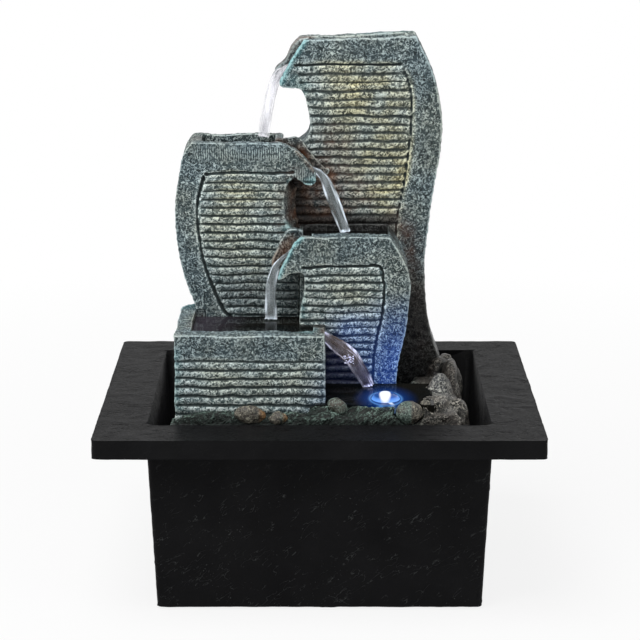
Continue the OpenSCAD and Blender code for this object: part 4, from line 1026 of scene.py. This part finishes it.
def strand(bm, white, line, widths, at, thick, flat, foam_and_highlight, seed):
    """One strand: an oval ring drawn down the line, beside it by a share of the fall's half width."""
    ring = bmesh.ops.create_circle(bm, cap_ends=True, segments=14, radius=0.5)["verts"]
    edges = list({e for v in ring for e in v.link_edges})
    before = Matrix.Identity(4)
    for k, p in enumerate(line):
        tangent = (line[min(k + 1, len(line) - 1)] - line[max(k - 1, 0)]).normalized()
        side = Vector((0, 1, 0)).cross(tangent).normalized()
        share = k / (len(line) - 1)
        w = float(np.interp(share, np.linspace(0, 1, len(widths)), widths))
        swell = 1 + 0.5 * noise.noise((share * 5, seed, 0.5))
        middle = p + side * w / 2 * (at + 0.22 * noise.noise((share * 3.5, seed, 7)))
        oval = Matrix((side * w * thick * swell, Vector((0, w * thick * flat, 0)), tangent))
        now = Matrix.Translation(middle * MM) @ Matrix.Scale(MM, 4) @ oval.transposed().to_4x4()
        if k:
            grown = bmesh.ops.extrude_edge_only(bm, edges=edges)["geom"]
            ring = [g for g in grown if isinstance(g, bmesh.types.BMVert)]
            edges = [g for g in grown if isinstance(g, bmesh.types.BMEdge)]
        bmesh.ops.transform(bm, verts=ring, matrix=now @ before.inverted())
        lively = min(max(0.55 + 1.7 * noise.noise((share * 4.5, seed, 3)), 0), 1)
        for v in ring:
            v[white] = max(foam_and_highlight * lively, 0.7 * min(max((share - 0.94) / 0.06, 0), 1))
        before = now
    bmesh.ops.holes_fill(bm, edges=edges)


def add_bubbles(bm, white, at, spread_out, count, rise):
    """Bubbles that lie low where a fall lands (rise), or fly all ways where it breaks up."""
    for _ in range(count):
        away = noise.random_unit_vector() * spread_out * (0.3 + 0.7 * noise.random())
        size = 0.35 + 0.6 * noise.random()
        off = Vector((away.x, away.y * 0.7, abs(away.z) * 0.35 if rise else away.z * 1.2))
        squashed = (size, size, size * (0.7 if rise else 1))
        for v in add_lump(bm, Vector(above([at])[0]) + off, squashed, fine=2):
            v[white] = 0.9


def fall(name, path, widths, mat, foam_and_highlight, bubbles):
    """Strands side by side; one argument gives how white the left edge, the middle and the right edge
    are, as foam and painted highlight.
    """
    line = smooth_line(above(path))
    bm = bmesh.new()
    white = bm.verts.layers.float.new("foam_and_highlight")
    left, middle, right = foam_and_highlight
    strands = ((-0.3, 0.62, 0.5, middle), (0.35, 0.6, 0.45, middle), (0.0, 0.5, 0.7, middle),
        (-0.88, 0.17, 1.6, left), (0.88, 0.17, 1.6, right), (-0.5, 0.13, 2.4, left * 0.6))
    for seed, (at, thick, flat, share) in enumerate(strands):
        strand(bm, white, line, widths, at, thick, flat, share, seed + len(name) * 1.7)
    bmesh.ops.recalc_face_normals(bm, faces=bm.faces)
    bm.normal_update()
    for v in bm.verts:
        p = v.co / MM
        v.co += v.normal * MM * 0.3 * noise.noise((p.x / 1.7, p.y / 1.7, p.z / 4))
    for bubble in bubbles:
        add_bubbles(bm, white, *bubble)
    made = add_mesh(name, bm)
    smooth_shade(made.data)
    pour(made, mat)


noise.seed_set(7)
fall("fall_tower", [(-12, 21, 158), (-17, 21.5, 155), (-22, 21.5, 148), (-28, 21.5, 122)],
    (0.8, 2.6, 4.4, 5, 5.2), MILKY_FALL, (0.6, 0.5, 0.5), [((-28, 21.5, 121.6), 3.5, 10, True)])
fall("fall_left", [(-3.5, 9, 108.4), (1.0, 9, 105), (4.4, 9, 98.5), (8.6, 9, 88), (12.6, 9, 76.6)],
    (1.4, 3.2, 5, 5.6, 5.2), CLEAR_FALL, (1, 0.15, 0.9), [((12.6, 9, 76.6), 3.2, 10, True)])
fall("fall_front", [(-14, -8, 71), (-20, -8, 65), (-23, -8, 56), (-24, -8, 37)],
    (1.2, 1.8, 3.6, 5.2, 5.6), CLEAR_FALL, (0.6, 0.15, 1.2), [((-24, -8, 37), 3.4, 12, True)])
fall("fall_block", [(-3, -28, 36), (2.4, -28, 33.2), (9, -27.4, 28.4), (15.6, -26, 22.4),
    (20.4, -24, 14.4), (23.6, -21.6, 6.6)], (3, 4.6, 6.4, 7.2, 6.4, 5.2), LIT_FALL, (1, 0.12, 0.7),
    [((23.4, -22, 7), 3, 12, True), ((14.2, -30, 22.4), 2.8, 34, False)])

# %% [markdown]
# ## The light
# A white diode shines through a blue dome under the front pool. The dome's colour is drawn in rings
# round its axis: white in the middle, deep blue, and a pale rim where the dome turns away.

# %% Material: lens
def make_lens():
    mat, tree, shader = material("lit_lens", Roughness=0.12, IOR=1.49, Base_Color="12305f",
        Emission_Strength=1.0)
    where = place(tree)
    flat = round_light(tree, where)
    away = length(tree, flat)
    tall = mapped(tree, flat, move=(0.0004, 0.0012, 0), scale=(1, 0.55, 1))
    core = ramp(tree, length(tree, tall), 0.0022, 0.0031, 1, 0)
    dim = patches(tree, where, (170, 1.0), 0.4, 0.6)
    feed(tree, shader, Emission_Color=layered(tree, "0650b8", (dim, "0b3a78"),
        (ramp(tree, away, 0.0052, 0.0066), "6ea8fa"), (core, WHITE)))
    return mat


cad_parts["led_lens"].material_slots[0].material = make_lens()

# %% [markdown]
# ## Pump, light and fittings
# Under the ground sit the pump with its rotor, the tube that feeds the tower, and the light's own
# case. They keep their CAD shapes, because a moulded housing is exactly what CAD draws well. What
# they lack is a skin: moulded plastic has a spark-eroded grain, rubber has a dusty bloom, and steel
# has fine turning marks. One shared group makes all of these skins from noise, each with its own
# colours and grain.

# %% Group: moulded skin
def make_moulded_skin():
    tree, given, out = group("moulded_skin",
        [("Where", "v", (0, 0, 0)), ("Tone", "c", BLACK), ("Second", "c", BLACK),
            ("Bloom", "c", (0.3, 0.3, 0.28, 1)), ("Fineness", "f", 1500.0), ("Dusty", "f", 0.2)],
        [("Color", "c"), ("Grain", "f")])
    where = given["Where"]
    fine = grain(tree, where, given["Fineness"], 3.0, 0.5)
    cloudy = patches(tree, where, (110, 3.0), 0.35, 0.65)
    dust = times(tree, patches(tree, where, (260, 4.0, 0.7), 0.5, 0.75), given["Dusty"])
    tone = layered(tree, given["Tone"], (cloudy, given["Second"]), (dust, given["Bloom"]))
    fill(tree, out["Color"], tone)
    fill(tree, out["Grain"], fine)
    return tree


SKIN = make_moulded_skin()


def moulded(name, tone, second, gloss, dusty, fineness=1500.0, relief=0.00006, bloom="8d8d86",
        **plain):
    """A finish from the shared skin; gloss is its lowest and highest roughness."""
    mat, tree, shader = material(name, **plain)
    skin = use(tree, SKIN, {"Where": place(tree), "Tone": tone, "Second": second, "Bloom": bloom,
        "Fineness": fineness, "Dusty": dusty})
    feed(tree, shader, Base_Color=skin["Color"], Roughness=ramp(tree, skin["Grain"], 0.3, 0.7, *gloss))
    bump(tree, shader, skin["Grain"], relief, 0.6)
    return mat


def finish(mat, *cad_nodes):
    """Gives a finish to CAD nodes that keep their own shape."""
    for name in cad_nodes:
        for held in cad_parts[name].material_slots:
            held.material = mat
    print(mat.name, "on", ", ".join(cad_nodes))

# %% Plastics and rubbers
finish(moulded("black_rubber", "141415", "1d1d1e", (0.55, 0.8), 0.3, 900.0),
    "basin_feet", "cord_grommet", "plinth_pads", "chamber_seal", "pump_gland", "led_ring")
finish(moulded("grey_sucker_rubber", "2b2e30", "3a3e40", (0.3, 0.5), 0.12), "suction_cups")
finish(moulded("black_pump_plastic", "111213", "19191b", (0.34, 0.52), 0.1),
    "pump_housing", "volute", "strainer", "led_housing")
finish(moulded("black_fitting_plastic", "0e0e0f", "161617", (0.22, 0.4), 0.06), "outlet_fitting")
finish(moulded("blue_dial_plastic", "1d4f9a", "24589f", (0.28, 0.42), 0.05), "flow_dial")
finish(moulded("white_nylon", "d9dad4", "e4e4df", (0.32, 0.46), 0.05, bloom="b9b7ab"), "impeller")

# %% Rotor, screws and tube
finish(moulded("dark_ferrite", "2a292b", "353337", (0.4, 0.62), 0.1, 2200.0, 0.0001), "rotor_magnet")
finish(moulded("white_ceramic", "e3dfd5", "ece9e2", (0.12, 0.2), 0.03, bloom="c8c2b2"), "rotor_shaft")
finish(moulded("bush_rubber", "26241f", "322f29", (0.5, 0.7), 0.12), "shaft_bushes")
finish(moulded("steel_screw", "a9abad", "bcbec0", (0.22, 0.4), 0.1, 2600.0, 0.00003, Metallic=1.0),
    "cover_screws")
finish(moulded("clear_tube_plastic", "c9cfca", "d8dcd6", (0.12, 0.26), 0.06, 700.0, bloom="a7a58e",
    IOR=1.5, Transmission_Weight=0.7), "riser_tube")
finish(SLATE, "tower_cover")

# %% Light's circuit board
def make_board():
    """White lacquer, a yellow chip in the middle and a ring of six gold pads round it."""
    mat, tree, shader = material("white_board")
    where = place(tree)
    flat = round_light(tree, where)
    x, y = (axis(tree, flat, a) for a in "XY")
    square = most(tree, maths(tree, "ABSOLUTE", x), maths(tree, "ABSOLUTE", y))
    away = length(tree, flat)
    turn = maths(tree, "COSINE", times(tree, maths(tree, "ARCTAN2", y, x), 6.0))
    ring = times(tree, ramp(tree, away, 0.0034, 0.0035), ramp(tree, away, 0.0044, 0.0045, 1, 0))
    pads = times(tree, ramp(tree, turn, 0.55, 0.65), ring)
    skin = use(tree, SKIN, {"Where": where, "Tone": "dcdedb", "Second": "e6e7e4",
        "Bloom": "b5b3a5", "Fineness": 1200.0, "Dusty": 0.05})
    chip = ramp(tree, square, 0.0017, 0.0018, 1, 0)
    feed(tree, shader, Base_Color=layered(tree, skin["Color"], (pads, "c9a24a"), (chip, "e2b93c")),
        Roughness=ramp(tree, skin["Grain"], 0.3, 0.7, 0.25, 0.4), Metallic=pads)
    bump(tree, shader, skin["Grain"], 0.00003, 0.5)
    return mat


finish(make_board(), "led_board")
left_plain = [name for name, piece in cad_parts.items() if not piece.hide_render
    and piece.material_slots[0].material.name.startswith(name)]
print("nodes still in their CAD colour:", left_plain)
